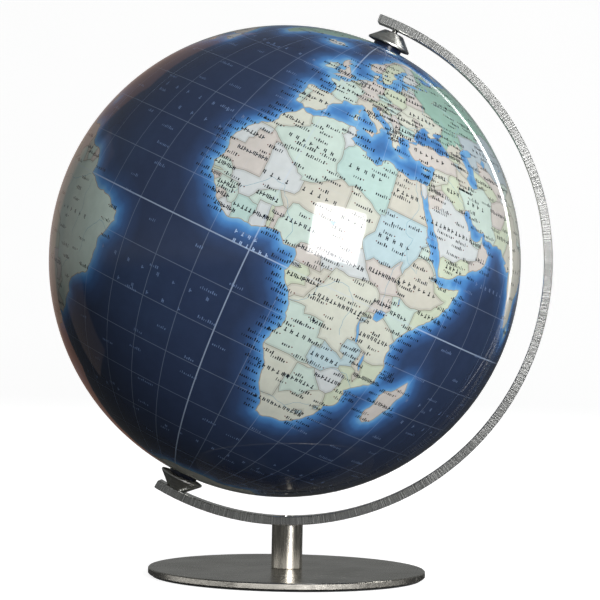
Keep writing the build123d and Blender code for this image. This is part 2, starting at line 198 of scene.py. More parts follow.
    "new_guinea": """
131 -.8 134 -.8 135 -3.3 138 -1.7 141 -2.6 144.8 -4 147.8 -6.2 150.8 -10.4 147.2 -9.5 144.7 -7.7
143 -9.2 138.5 -8.2 138 -5.5 132.8 -4 133.8 -2.4""",
    "new_britain": "148.5 -5.7 152 -4.3 151 -6",
    "australia": """
114.2 -21.8 119 -20 122 -18.1 123 -16.4 126.9 -13.8 129 -14.9 130.8 -12.4 132.6 -11.4 136.7 -12.1
135.6 -15 139.2 -17.5 140.9 -17.4 141.7 -14 142.5 -10.8 143.7 -14.3 145.4 -15.2 146.3 -18.9 149.6 -22.3
153.1 -25.6 153.6 -28.5 151.2 -33.9 150 -37.3 146.4 -39.1 144.6 -38.1 143.5 -38.8 139.8 -37.2
138.1 -34.3 136.8 -35.2 137.8 -32.8 135.8 -34.8 134 -32.7 131.2 -31.5 126 -32.3 123.8 -33.9 120 -33.9
118 -35 115.1 -34.3 115.7 -32 113.4 -26.2 113.7 -22.8""",
    "tasmania": "144.7 -40.8 148.3 -40.9 148 -43.2 146.5 -43.6",
    "north_new_zealand": """
172.8 -34.5 175.5 -36.7 178.4 -37.7 177 -39.3 175.3 -41.6 175 -40 173.8 -39.3 174.8 -37.8""",
    "south_new_zealand": """
172.7 -40.6 174.3 -41.7 172.8 -43.6 170.8 -45.8 168.8 -46.6 166.6 -46 168.3 -44.1""",
    "new_caledonia": "164 -20.2 167 -22.2 165.6 -21.8",
    "cuba": "-84.9 21.9 -82.5 23.1 -80 23 -74.2 20.2 -77.6 19.9 -78.5 21.5 -82 22.6",
    "hispaniola": "-74.4 18.4 -73.2 19.9 -71 19.8 -68.4 18.6 -71.4 17.7",
    "jamaica": "-78.3 18.4 -76.3 18.1 -77.2 17.8",
    "puerto_rico": "-67.2 18.4 -65.7 18.3 -67 17.9",
    "newfoundland": "-59.3 47.7 -57.3 50.7 -55.6 51.5 -53 47.2 -55.5 47",
    "vancouver_island": "-128.3 50.7 -125 50 -123.4 48.4",
    "baffin": """
-80 73.7 -76.5 72.8 -68 70.3 -61.7 66.6 -64.7 63.4 -66 62 -73.8 64.6 -72.5 67.5 -77 69.8 -89.5 71.2
-89.5 73.5""",
    "victoria_island": "-117 71.3 -113 73 -105 73 -104.5 70.6 -102 69.6 -113.5 69",
    "banks": "-124 73.8 -121 74.5 -117.5 73.2 -123 71.3 -125.5 72.2",
    "ellesmere": "-90 76.5 -80.5 76.3 -77 78.4 -61.5 82.4 -70 83.1 -86 82.2 -91.5 81 -86 79.5",
    "devon": "-95 76.3 -80 75.6 -81 74.6 -92 74.8",
    "southampton": "-86 65.8 -80.5 64 -84 62.8 -87 63.6",
    "somerset": "-96 73.9 -90.4 73.9 -92.8 72 -96 72.3",
    "axel_heiberg": "-96 80.6 -87.5 80.2 -88.5 78.4 -94 78.4",
    "melville": "-117 76.2 -107 76 -106 75 -115 74.6",
    "prince_of_wales": "-102 73.5 -97.5 73.8 -97 71.8 -101.5 72.2",
    "falklands": "-61.2 -51.6 -59 -51.3 -58 -51.9 -60.5 -52.2",
    "antarctica": """
-180 -78.3 -158 -77.8 -145 -75.5 -125 -73.8 -102 -72.6 -92 -73 -74 -73.4 -68 -70 -66.5 -67 -57.2 -63.3
-62 -68.5 -61 -74.8 -50 -77.6 -35 -78.2 -26 -75.5 -10 -71.2 15 -69.7 38.5 -69.8 52 -65.9 58 -67.1
70 -69.5 82 -67.2 100 -66 110 -66.3 130 -66.1 150 -68.4 170.5 -71.5 165 -75 164 -77.6 180 -78.3
180 -86.4 -180 -86.4""",
}

WATER = {
    "caspian": """
49.2 46.4 51.5 46.9 53 46.6 53 45.3 50.5 44.5 51.4 43.2 52.7 42.4 52.9 40 53.8 39 53.9 37.2 52 36.6
50.2 37.4 49.1 38.6 50.3 40.4 47.7 42.8 46.9 44.8""",
    "aral": "58.4 45 60.2 46.4 61.4 45.6 60 43.8",
    "victoria": "31.7 -1 32.6 .3 34.1 .2 34.1 -.8 33 -2.4 31.9 -2.2",
    "tanganyika": "29.2 -3.4 29.6 -4.8 31.1 -8.7 30.5 -8.2 29.2 -5.2",
    "malawi": "34 -9.6 34.6 -11 35.2 -14.3 34.4 -13.2 34.1 -11",
    "turkana": "36 4.6 36.4 3 36.1 2.5 35.8 4",
    "chad": "13.3 13.3 14.8 13.8 14.6 12.8",
    "baikal": "103.8 51.5 108 53.2 109.7 55.7 107 53.4",
    "balkhash": "73.6 45.4 75 46.7 79 46.6 75 46.2",
    "ladoga": "30.5 60.2 30.5 61.4 32.6 60.6",
    "onega": "34.5 61.3 35 62.6 36.3 61.2",
    "vanern": "12.5 58.6 13.2 59.3 14 58.8",
    "superior": "-92 46.8 -88.5 48.6 -84.8 47.6 -84.7 46.6 -88 47",
    "michigan": "-87.7 42 -87.2 45.4 -85 45.8 -86.4 43.8 -86.8 41.8",
    "huron": "-84.3 46 -80.2 45 -82.3 43.1 -83.5 44.6",
    "erie": "-83.2 41.8 -79 42.8 -81.5 41.7",
    "ontario": "-79.6 43.4 -76.4 44.1 -77 43.4",
    "winnipeg": "-99 53.6 -97 52 -96.6 50.6 -98.3 51.8",
    "great_slave": "-117 61.2 -111 62.7 -109.5 62.4 -114 60.9",
    "great_bear": "-124.5 66 -119 66.9 -118 65.5 -122.5 65",
    "titicaca": "-70 -15.4 -68.8 -16 -69 -16.5",
}

# Borders and rivers are open lines, with a slash between one line and the next.
BORDERS = """
-8.7 27.5 -13.5 27.6 / -17.6 20.8 -17 21.3 -13 21.3 -13 23 -12 23.4 -12 26 -8.7 26 -8.7 27.5 / -8.7 27.5
-8.7 28.7 -5.5 29.9 -3.5 31 -1.2 32.2 -1.7 33.8 -2.3 35.6 / -8.7 27.5 -4.8 25 1.2 21.2 1.8 20.3 3.2 19.9
3.2 19 4.2 19.2 / -4.8 25 -6.5 25 -5.5 16.3 -5.5 15.5 -9.3 15.5 -10.9 15.2 -12.2 14.8 / -12.2 14.8
-14 16.5 -17 16.1 / 4.2 19.2 5.8 19.5 12 23.5 / 12 23.5 10 24.5 9.4 26.2 9.9 28 9.5 30.3 / 9.5 30.3
9 32.1 7.5 33.8 8.3 35 8.2 36.5 8.6 37.6 / 9.5 30.3 10.3 31.7 11.5 32.3 11.8 33.6 / 25 32.2 25 22 /
25 22 25 20 24 20 24 19.5 / 24 19.5 16 23.4 15 23 / 15 23 14.2 22.6 12 23.5 / 25 22 37.6 22 / 34 31.8
34.9 29.2 / 24 19.5 24 15.7 22.5 14 22 12.7 22.9 11 / 22.9 11 24.5 8.8 / 24.5 8.8 26 10.2 28 9.5 31 9.8
32.5 12 33.2 12.2 33.1 10.7 34.1 9.5 / 15 23 15.5 21 15.5 16.9 13.6 14.5 13.5 13.6 / 13.5 13.6
14.2 12.6 / 14.2 12.6 15 10 14.2 9.9 15.5 7.5 / 14.2 12.6 13.2 9.7 11.5 6.7 9.5 6.4 8.5 4 / 15.5 7.5
18.6 8 19 9 22.9 11 / 13.5 13.6 10.5 13.3 7.8 13.3 5.4 13.9 4.1 13.5 3.6 11.7 / 4.2 19.2 4.2 16.5
3.5 15.4 .3 14.9 / .3 14.9 2.2 12.4 2.4 12 / 2.4 12 3.6 11.7 / 3.6 11.7 3.6 10 2.7 9 2.7 5.9 / 2.4 12
.9 11 1.6 9 1.7 5.7 / .9 11 0 11.1 -2.8 11 / 0 11.1 .5 8.5 1.2 5.4 / -2.8 11 -2.8 9.7 / -2.8 9.7 -2.5 8
-3.2 6.5 -2.9 4.5 / .3 14.9 -2 14.2 -4.3 12.7 -5.5 10.4 / -5.5 10.4 -4 9.7 -2.8 9.7 / -5.5 10.4
-8 10.2 / -8 10.2 -8 8.5 -8.4 7.6 / -8.4 7.6 -7.5 5.8 -7.5 4 / -8.4 7.6 -9.4 7.4 -10.3 8.5 / -10.3 8.5
-10.7 9.3 -12.5 9.9 -13.8 8.7 / -10.3 8.5 -11.9 6.4 / -8 10.2 -9.3 12.4 -11.4 12.4 / -11.4 12.4
-12.2 14.8 / -11.4 12.4 -13.7 12.6 / -13.7 12.6 -13.8 11.7 -15.2 10.6 / -13.7 12.6 -17.2 12.4 /
-17.3 13.1 -15 13.2 -13.8 13.4 -15 13.7 -17.3 13.6 / 15.5 7.5 14.5 5.5 16.2 2.2 / 16.2 2.2 13.3 2.2 /
13.3 2.2 11.3 2.2 9.3 2.3 / 11.3 2.2 11.3 1 9 1 / 13.3 2.2 14.3 1 13.9 -.5 14.4 -1.9 12.5 -2.3 11.5 -2.7
10.7 -4.1 / 18.6 3.5 17.8 .5 16.2 -2 15.3 -4.3 13.1 -4.7 11.9 -6 / 16.2 2.2 16.5 3.3 18.6 3.5 / 18.6 3.5
19 4.6 22.5 4.1 27.4 5.1 / 27.4 5.1 25.3 7.3 24.5 8.8 / 27.4 5.1 29.6 4.5 30.8 3.5 / 30.8 3.5 34 4.2 /
34 4.2 35.9 4.7 / 35.9 4.7 33.1 7.8 34.1 9.5 / 34.1 9.5 34.3 10.7 35.5 12.7 36.5 14.3 / 36.5 14.3 37 17
38.9 18.4 / 36.5 14.3 37.9 14.8 40 14.5 42.4 12.5 / 42.4 12.5 43.5 13 / 42.4 12.5 41.8 11 42.9 11 /
42.9 11 43.7 11.8 / 42.9 11 44 9 47 8 48 8 45 5 41.9 3.9 / 41.9 3.9 39.5 3.5 38 3.7 35.9 4.7 / 41.9 3.9
41 3 41 -.9 41.8 -1.9 / 34 4.2 34.9 1 34 .1 33.9 -1 / 33.9 -1 30.5 -1 / 33.9 -1 37.6 -3 39.6 -5 /
30.8 3.5 31.2 2.2 29.9 .6 29.6 -1.4 / 29.6 -1.4 30.5 -1 / 30.5 -1 30.8 -2.3 29 -2.7 29.6 -1.4 /
30.8 -2.3 30.4 -3.3 29.4 -4.4 29.2 -3.3 29 -2.7 / 29.4 -4.4 29.5 -6 30.8 -8.3 / 30.8 -8.3 32.9 -9.4 /
32.9 -9.4 34 -9.6 34.6 -11.5 / 32.9 -9.4 33.3 -10.8 32.7 -13.6 33.2 -14 / 34.6 -11.5 35.8 -14.5 35.8 -16
35.2 -17.1 34.3 -15.8 34.5 -14.5 33.2 -14 / 34.6 -11.5 37.5 -11.7 41 -10.3 / 30.8 -8.3 28.6 -8.5
28.4 -11.8 29.8 -12.2 29.8 -13.4 28 -12.4 26 -11.9 24 -10.9 / 24 -10.9 22.2 -11.1 21.8 -7.3 19.4 -7.1
17 -7.5 16.6 -5.9 12 -6 / 24 -10.9 24 -13 22 -13 22 -16.2 23.4 -17.6 / 23.4 -17.6 20.8 -18 18.4 -17.4
14.2 -17.4 11.3 -17.3 / 23.4 -17.6 25.3 -17.8 / 25.3 -17.8 24 -18.4 21 -18.3 / 21 -18.3 21 -22 20 -22
20 -24.8 / 20 -24.8 20 -28.4 17.5 -28.7 16 -28.7 / 20 -24.8 20.8 -26.8 23 -25.3 25.6 -25.6 27 -23.6
29.4 -22.2 / 29.4 -22.2 27.5 -20.5 25.3 -17.8 / 25.3 -17.8 27 -17.9 28.9 -16 30.4 -15.6 / 30.4 -15.6
30.3 -14.9 33.2 -14 / 30.4 -15.6 32.9 -16.7 32.8 -19.5 32.4 -21.3 31.3 -22.4 / 29.4 -22.2 31.3 -22.4 /
31.3 -22.4 32 -24.5 32 -25.8 / 32 -25.8 30.9 -26.3 31 -27.3 32 -27.1 32 -25.8 / 32 -27.1 33.2 -26.9 /
28.9 -28.7 29.4 -29.6 28.2 -30.5 27.1 -29.7 28.9 -28.7 / 35.5 33.2 35.5 31 34.9 29.2 / 34.7 33.1
35.5 33.2 36.5 34.4 35.6 34.7 / 35.5 32.7 36.8 32.3 38.8 33.4 / 38.8 33.4 39.2 32.2 / 39.2 32.2 37 31.5
38 30.5 36 29.2 34.7 29.2 / 38.8 33.4 41 34.4 41.4 36.5 42.3 37.2 / 35.5 35.9 36.7 36.7 40 36.8
42.3 37.2 / 42.3 37.2 44.8 37.2 / 44.8 37.2 44.4 39.5 44.8 39.7 / 44.8 37.2 46 35.7 45.5 34 47.7 31.4
48.8 29.5 / 39.2 32.2 42 31.1 44.7 29.2 46.5 29.1 / 46.5 29.1 47.7 30.1 48.8 29.9 / 46.5 29.1
48.9 28.5 / 42.4 16.5 43.4 17.4 47 17 49 18.5 52 19 / 52 19 55 20 55.2 22.7 / 52 19 53.4 16.1 /
55.2 22.7 52.6 22.9 51.3 24.6 / 55.2 22.7 56 24.5 57 25 / 61.6 24.7 63.2 27.2 61 29.8 / 61 29.8 60.6 33
61.2 35.6 / 61.2 35.6 57 38 53.6 37.2 / 61 29.8 66.3 29.9 69.5 33 71.5 36.3 74.5 37.1 / 61.2 35.6
64.5 36.7 67.8 37.2 / 67.8 37.2 71.5 36.7 74.5 37.1 / 66.5 37.4 62 40 57 41.3 55.9 41.3 / 55.9 41.3
52 42 / 55.9 41.3 56 45 61 44.4 66 42 69 41.4 71 42.3 / 71 42.3 75.6 42.9 80.2 42.2 / 80.2 42.2
82.5 45.2 85.5 48.4 87.3 49.1 / 49.1 46.2 47.5 50.4 55 51 61 51 61 53.5 69 55.3 76 54.2 80 51
87.3 49.1 / 80.2 42.2 74 39.6 74.5 37.1 / 71 42.3 73 40.5 69.5 39.5 67.8 37.2 / 39.6 43.5 44 42.7
48.2 41.7 / 41.2 41.5 43.5 41 44.8 39.7 / 43.5 41 45.5 41.2 46.5 41.8 / 45.5 41.2 46.5 39 44.8 39.7 /
46.5 39 49.2 38.3 / 67.6 23.7 71 27.8 74.5 31 74.5 34 74.5 37.1 / 74.5 37.1 79 34.5 79 32.5 81 30.2 /
81 30.2 88 27.9 / 81 30.2 80.1 28.8 88 26.5 88 27.9 / 88 27.9 92 27.8 97 28.3 / 97 28.3 94.5 25 93 23
92 21 / 92.3 22 92 24.5 89 26 88.5 24 89 21.4 / 97 28.3 98.5 25 101.2 21.5 / 101.2 21.5 97.5 18.5
98.6 15 98.6 9.5 / 101.2 21.5 101 18 104.8 17.5 105.5 14.3 107.5 14.5 104.5 19 102.2 22.4 101.2 21.5 /
107.5 14.5 106 11 104.2 10 / 105.5 14.3 102.6 11.6 / 102.2 22.4 105.5 23.2 108.2 21.2 / 87.3 49.1 98 52
107 49.4 116.5 49.8 / 116.5 49.8 119.8 46.8 111 43.3 105 41.6 97 42.7 91 45.2 87.3 49.1 / 116.5 49.8
121 53.3 127.5 50 131 47.7 135 48.4 131 44.9 130.9 42.2 / 124 39.8 128 42 130.9 42.4 / 126 37.8
128.8 38.6 / -9.3 41.9 -6.5 41.8 -7 39.6 -7.4 36.8 / -1.7 43.8 .7 42.7 3.5 42.4 / 7.5 43.4 6.9 45.2
7 46 / 7 46 6 46.3 7.6 47.6 / 7.6 47.6 8.2 49 6.4 49.4 / 6.4 49.4 4 50 2.2 51.3 / 3 51.5 5.9 51 /
6.4 49.4 6 50.4 5.9 51 / 5.9 51 7 52.3 7.1 53.8 / 8 54.9 10.3 54.8 / 14.2 54.2 14.6 51 / 14.6 51
12.2 50.2 13.8 48.7 / 13.8 48.7 12.9 47.6 9.6 47.5 / 9.6 47.5 7.6 47.6 / 9.6 47.5 10.4 46.7 9 46 7 46 /
10.4 46.7 13.7 46.6 / 13.7 46.6 13.4 45.4 / 13.7 46.6 16.2 46.8 17.1 48 / 16.2 46.8 19 45.9 / 13.8 48.7
17 48.8 17.1 48 / 17 48.8 18.8 49.5 / 14.6 51 16.5 50.4 18.8 49.5 / 18.8 49.5 22.6 49.1 / 17.1 48
22.1 48.4 / 22.6 49.1 22.1 48.4 / 22.6 49.1 24 50.8 23.6 51.6 / 23.6 51.6 23.6 54 / 19.5 54.6 22.8 54.4
23.6 54 / 22.8 54.4 20.7 55.4 / 20.7 56.1 26.6 55.7 / 23.6 54 26.6 55.7 / 24.1 57.9 27.3 57.5 /
26.6 55.7 28.2 56.2 27.3 57.5 28 59.8 / 28.2 56.2 31 54.5 31.8 52.1 / 23.6 51.6 31.8 52.1 / 31.8 52.1
34 51.8 36 50.3 40 49.6 38.3 46.8 / 22.1 48.4 24.8 47.8 26.6 48.3 28.2 45.5 30 45.2 / 26.6 48.3 29.2 48
30 46.4 28.2 45.5 / 22.1 48.4 20.3 46.1 / 19 45.9 20.3 46.1 / 20.3 46.1 22.5 44.3 / 22.5 44.3 27 44.1
29 43.7 / 22.5 44.3 22.4 42.3 / 22.4 42.3 23 41.3 26.4 41.7 / 26.4 41.7 28.4 42 / 26.4 41.7 26 40.5 /
23 41.3 21 40.8 19.8 39.5 / 22.4 42.3 20.6 42 / 21 40.8 20.6 42 19.2 41.9 / 19 45.9 19.3 43.5
18.1 42.4 / 19.3 43.5 20.6 42 / 19 45 15.8 45.2 17.2 43 / 10.9 58.9 12.5 61.5 12.2 63.5 14.5 66 18 68.5
20.5 69.1 / 20.5 69.1 25.8 69.7 28.8 69.1 / 20.5 69.1 23.7 67.5 24 65.6 / 28.8 69.1 29.9 67.7 29.9 64.5
31.5 62.9 27.9 60.3 / 28.8 69.1 31 70.2 / -8 55.3 -7.5 54.2 -5.8 54 / -51.3 4.5 -52.9 2.2 -54.6 2.3 /
-54 6 -54.4 4 -54.6 2.3 / -54.6 2.3 -56.5 1.9 / -57.2 6.2 -57.9 3.5 -56.5 1.9 / -56.5 1.9 -58.8 1.3
-59.8 4.4 -60.7 5.2 / -59.7 8.8 -61.3 6 -60.7 5.2 / -60.7 5.2 -64 4 -63.5 2.2 -66.9 1.2 / -66.9 1.2
-67.4 6.1 -72.4 7.4 -71.4 12.2 / -66.9 1.2 -69.5 1.2 -69.9 -4.2 / -69.9 -4.2 -70.2 -2.5 -75.2 0 /
-75.2 0 -79.2 1.6 / -75.2 0 -78.3 -3.2 -80.6 -3.5 / -69.9 -4.2 -73.9 -7.3 -70.6 -9.5 -69.5 -11 /
-69.5 -11 -68.9 -15.5 -69.5 -17.5 / -69.5 -17.5 -70.8 -18.4 / -69.5 -17.5 -67 -22.9 / -69.5 -11
-65.4 -9.8 -65.3 -12 -60.2 -13.7 -60 -16.2 -58.2 -17.3 -58.1 -20.1 / -58.1 -20.1 -62.3 -20.6
-62.6 -22.2 / -62.6 -22.2 -64.5 -22.3 -67 -22.9 / -58.1 -20.1 -58 -22.1 -55.7 -22.3 -54.3 -24.2
-54.6 -25.6 / -62.6 -22.2 -57.8 -25.2 -58.6 -27.3 -55.9 -27.3 -54.6 -25.6 / -54.6 -25.6 -53.7 -26.8
-57.6 -30.2 / -57.6 -30.2 -54 -32 -53 -33.9 / -57.6 -30.2 -58.6 -34.3 / -67 -22.9 -68.5 -25 -70 -33
-71.3 -38.9 -72 -44.5 -72.5 -50 -71.9 -52 -68 -52.3 / -125 48.4 -123 49 -95.2 49 -89.5 48 -83.5 46
-82.5 43 -79 43.4 -75 45 -71.5 45 -69.2 47.4 -66.6 44.8 / -141 70 -141 60.3 -137.5 58.9 -130 55.9
-130.7 54.3 / -117.6 32.5 -111 31.3 -106.5 31.8 -101.5 29.8 -96.7 25.9 / -92.6 14 -91 17.2 -89.2 17.8
-87.6 18 / -89.2 17.8 -89.2 14.4 -90.2 13.3 / -89.2 14.4 -87.6 12.7 / -87.5 13.2 -82.9 15.1 / -86.2 11
-83.4 10.9 / -83.1 7.9 -82.4 9.7 / 141 -2.2 141 -9.6 / 109.3 2.2 115 2.5 118.3 4.3 / 129 -14.5 129 -32 /
138 -16 138 -26 / 141 -26 141 -38.5 / 129 -26 141 -26 / 141 -29 153.8 -28.5 / 141 -34 148 -36
150.3 -37.4"""

RIVERS = """
31 31.3 31.2 29 33 26 32.8 24 31 21 31.5 18.5 33.8 18 33 15.6 32.5 13 31.5 9.5 31.6 5 32 2.5 33 .4 /
32.5 15.6 34.5 12.5 37.5 11 37.3 12 / 6.2 4.6 6.8 7.8 4.5 10.5 3.5 12 .5 16.5 -3 16.8 -6 13.5 -10 9.5 /
12.5 -6 16 -4.3 17 -1 20 1.8 23.5 2 25.5 0 25.8 -4 26.5 -8.5 / 36.2 -18.8 33 -16 28.8 -16.2 25.8 -17.9
23.3 -16 23 -13 / 16.5 -28.6 20.5 -28.6 24 -29.5 27.5 -30.5 / 24 -29.5 26.5 -27.5 29.5 -26.5 / 29.6 45.2
28 45.4 25 43.8 22.5 44.3 19 45.4 18.9 47.8 16 48.3 11 48.6 / 47.5 46 45 48.5 50 53 48.5 55.5 43 56.5
37 57 / 48.5 30 46 32 43 34.5 40 36 / 31 46.6 35 48 31 51 31 55 / 39.5 47.2 42 48.5 39 52 / -50.5 -.5
-55 -2 -60 -3.2 -65 -3 -70 -4 -74 -4.5 / -60 -3.2 -63 -8 -66 -11 / -49 -1.5 -49.5 -5 -49 -10 -50.5 -15 /
-36.5 -10.5 -40 -9 -43.5 -12 -45 -18 / -58.4 -33.8 -59.5 -30 -56.5 -27.3 -54.5 -24 -50.5 -20.5 /
-63.5 -4 -62 -2 -66 1 / 67.5 24 70 29 74 33 / 89.5 22.5 84 25.5 79 28 / 121.5 31.5 112 30 106 29 100 26
97 33 / 118.5 37.5 110 35 108 40 103 36 98 35 / -89.3 29.3 -91 34 -90 40 -93 45 / -90 38.5 -98 41
-105 46.5 / 68.5 66.5 67 62 75 59.5 82 55 / 82 70 90 62 92 56"""

# Political tints, as sRGB colours: beige pink, mint grey, mint blue, sand, light blue, pale grey, yellow
# green, teal, cream and grey blue.
TINTS = {
    "p": "d5cfc9", "g": "cddfd6", "b": "bfdad4", "s": "d4d2c6", "c": "c0d7dd",
    "l": "d5dbdc", "y": "d1dbc4", "t": "9cc0b2", "w": "d9dccf", "v": "b9c7ce",
}

SPARE_TINTS = "gpyswlct"  # for land that no name reaches

# Countries: longitude and latitude of the middle of the name, tint, number of letters and letter spread.
COUNTRIES = """
-10 20 p 10 1 -12.8 24.4 l 8 1 -6 32 w 7 1 2 28 g 7 2.2 9.4 35.2 l 7 .7 17.5 27.5 b 5 2.4
29.5 27 s 5 1.6 -1.6 17.2 l 4 2.4 9.5 17.5 s 5 2.4 18.7 15.5 w 4 2 30 15.5 c 5 2.4 -14.3 14.9 g 7 1
-11.5 11 g 6 1 -15.2 12.1 p 4 .7 -11.8 8.6 p 6 .8 -9.4 6.3 l 7 .8 -5.5 7.8 b 5 1.2 -1 7.9 l 5 1
-1.7 12.4 g 7 1 .9 8.1 y 4 .7 2.3 9.9 p 5 .7 8 9.8 g 7 1.4 12.4 5.6 p 8 1 20.5 6.8 l 10 1.2
11.6 -.8 y 5 1 15.4 -.5 s 5 .9 23 -2.5 w 12 1.3 30.3 7.6 p 10 1.1 39.5 8.2 s 8 1.9 38.9 15.2 g 7 .7
45.6 3.4 y 7 1.4 42.5 11.6 c 4 .6 37.6 .8 g 5 1.3 32.5 1.7 p 6 1 30 -2 y 5 .6 29.9 -3.3 c 5 .6
34.6 -6.2 w 8 1.3 17.6 -12.4 g 6 1.9 26.5 -14.8 c 6 1.6 33.9 -13 s 6 .7 38.6 -15.3 y 10 1
29.8 -19 l 8 1.1 17.2 -22.4 w 7 1.5 23.8 -22.2 g 8 1.3 23 -30.2 w 12 1.3 28.3 -29.5 c 5 .5
31.5 -26.6 c 5 .5 46.5 -19.5 p 10 1.1 10.6 1.5 l 5 .6 35 32 y 5 .6 37.5 31 p 6 .8 38 35.2 w 5 1
43.5 33 y 4 1.3 45 23.8 l 11 1.6 48 15.7 y 5 1.5 56.6 20.4 p 4 1.2 54 23.5 g 5 .8 47.6 29.4 p 5 .5
53.5 32.5 g 4 2.4 34.5 39.2 p 6 2 43.6 42.2 y 6 .8 44.8 40.4 c 6 .6 47.8 40.3 s 6 .7 66 33.5 p 10 1.2
68.5 28 y 8 1.3 58.5 39.5 y 8 1.2 64 41.5 p 10 .9 74.5 41.4 g 8 .9 70.7 38.6 l 8 .8 67 48 v 10 2
78 22 s 5 3 84 28.2 g 5 .8 90 24 c 8 .7 96 20.5 y 7 1 101.5 15.5 p 8 .9 103.5 18.3 l 4 .8
105 12.6 y 8 .7 106.2 21.6 g 7 .8 103 33.5 w 5 4 103.5 46.5 g 8 1.8 127 40.3 y 5 1 127.8 36.4 p 5 .9
90 62 t 6 5 47 56.5 t 0 1 -4 40 w 5 1.8 -8.2 39.8 g 8 .6 2.3 47 g 6 1.5 8.2 46.8 p 7 .5 12.6 43.3 s 5 .9
10.2 51.3 p 7 1.2 4.5 50.6 y 6 .5 5.6 52.2 l 7 .5 9.2 56 w 7 .6 14 47.4 y 7 .7 15.5 49.8 b 5 .7
19.5 52.2 y 6 1.1 19.5 48.7 p 6 .6 19.3 47 g 7 .7 14.6 46.1 p 6 .5 16.5 45.6 y 6 .5 17.6 44.2 l 6 .5
21 44.3 p 6 .7 25 46 w 7 1 25.3 42.8 b 8 .8 22 40 w 6 .8 20 41 c 5 .4 21.6 41.6 s 5 .4 28.7 47.2 p 5 .4
31 49.2 w 7 1.4 27.8 53.6 p 7 1 24 55.3 s 7 .7 25 56.9 l 6 .7 25.6 58.8 g 7 .7 21.2 54.7 t 4 .4
9 61 p 6 1.1 15.5 62 y 6 1.3 26.5 63.5 l 7 1.2 -1.8 52.6 p 7 .8 -8 53.2 g 7 .7 -19 64.9 l 7 1.3
80.8 7.6 g 6 .6 138 36.5 y 5 1 121 16 p 8 .8 101.9 4 w 7 .6 114 3.4 w 8 .7 114 0 y 9 1.4 140 -5 l 5 .9
144 -6.5 g 8 .9 125 -27 s 7 1.4 133 -21 p 8 1.3 135 -30 y 7 1.2 146 -23 g 8 1.3 146 -32.2 w 8 1
145 -37 p 7 .7 171.5 -43.5 y 8 .8 -52 -10 g 6 3.4 -66 7.5 p 9 1.2 -73 4 y 8 1.1 -78.3 -1 p 7 .6
-75.5 -9.5 s 4 1.6 -64.5 -16.5 y 7 1.2 -58.5 -23.2 p 8 .8 -65 -36 w 9 1.8 -71.2 -30 c 5 .8
-56 -32.8 s 7 .7 -59 5 s 6 .6 -56 4 g 8 .5 -53 3.9 p 6 .5 -100 40 w 12 3 -105 58 p 6 5 -152 64.5 w 6 2
-102.5 24 y 6 1.8 -90.4 15.6 p 8 .6 -86.5 14.6 g 8 .6 -85.3 12.8 s 8 .6 -88.6 13.6 y 4 .3 -84 10 p 8 .4
-80.5 8.4 w 6 .5 -79 22 p 4 1 -71 18.9 y 8 .6 -42 72 t 9 3 95 -84 w 10 2"""

# Wide-set names of the seas: longitude, latitude, number of letters, letter spread, and pale (1) or very
# pale (2) ink.
SEA_NAMES = """
-28 27 8 4.4 1 -24 22.5 5 4.4 1 -18 -14 8 4.4 1 -17 -19 5 4.4 1 -1.5 2.4 4 1.6 2 .5 .4 6 1.6 2
68 -16 6 5 1 70 -21.5 5 5 1 -160 12 7 6 1 -158 6 5 6 1 -140 -28 7 6 1 165 30 7 5 1 64 15 7 2 1
88 13 7 2 1 60 -48 8 4 1 -35 52 8 4 1 -45 -48 8 4 1 20 -52 8 4 1 114 14 5 1.6 1 -75 14.5 9 1.6 1
-90 25 7 1.6 1 0 74 9 2 1 38.2 20 3 1.2 1"""


def pairs(text):
    """The points of an outline or a line, as (longitude, latitude)."""
    values = [float(word) for word in text.split()]
    return list(zip(values[0::2], values[1::2]))


def arc_gap(p, q):
    """The angle between two nearby points, in degrees."""
    shrink = math.cos((p[1] + q[1]) / 2 * DEGREE)
    return math.hypot((p[0] - q[0]) * shrink, p[1] - q[1])


def on_edge(p, q):
    """True for a stretch that lies along the sheet's own edge and not along a coast."""
    return abs(p[0]) == 180 == abs(q[0]) or abs(p[1]) > 86 and abs(q[1]) > 86


def wander(p, q, rng, reach, step):
    """The points from p up to q, without q, moved sideways by halves so that the line looks natural."""
    gap = arc_gap(p, q)
    if gap < step or on_edge(p, q):
        return [p]
    shrink = max(0.15, math.cos((p[1] + q[1]) / 2 * DEGREE))
    slide = rng.uniform(-reach, reach) * min(gap, 4)
    dx, dy = (q[0] - p[0]) * shrink / gap, (q[1] - p[1]) / gap
    middle = (
        max(-LON_LIMIT, min(LON_LIMIT, (p[0] + q[0]) / 2 - dy * slide / shrink)),
        (p[1] + q[1]) / 2 + dx * slide,
    )
    return wander(p, middle, rng, reach, step) + wander(middle, q, rng, reach, step)


def on_ball(lon, lat, radius):
    """The place of a printed point on the ball."""
    turn = (lon + MERIDIAN_TURN) * DEGREE
    out = math.cos(turn) * ACROSS + math.sin(turn) * BEHIND
    return CENTRE + radius * (math.cos(lat * DEGREE) * out + math.sin(lat * DEGREE) * NORTH)


# ---------------------------------------------------------------- the printed sheet
FINE_STEP = 1.6  # degrees between points of the sheet near a coast
RIM_LAT = 86.4  # the sheet's edge, under the pole collars
RIM_STEPS = 144
INNER_ROWS = 64
LON_LIMIT = 179.9  # print keeps clear of the seam at 180 degrees and of the rims
LAT_LIMIT = 86.3
DENSE_LAT = 70  # beyond it, the sheet keeps all its points
COAST_REACH = 6  # degrees from a coast within which the sheet keeps all its points
# Widths of the printed lines, in degrees. A coast's line lies on the land side only.
COAST_LINE = 0.2
BORDER_LINE = 0.075
BORDER_BAND = 0.5
RIVER_LINE = 0.055
# Small names of towns and ports, in degrees: the height of the strokes and the way from one to the next.
NAME_HEIGHT = 0.86
NAME_ADVANCE = 0.52
MAP_SEED = 7
TOWN_TRIES = 9000
SEA_NAME_TRIES = 900
LAND_SHADE = 0.94
BAND_SHADE = 0.88  # beside a border
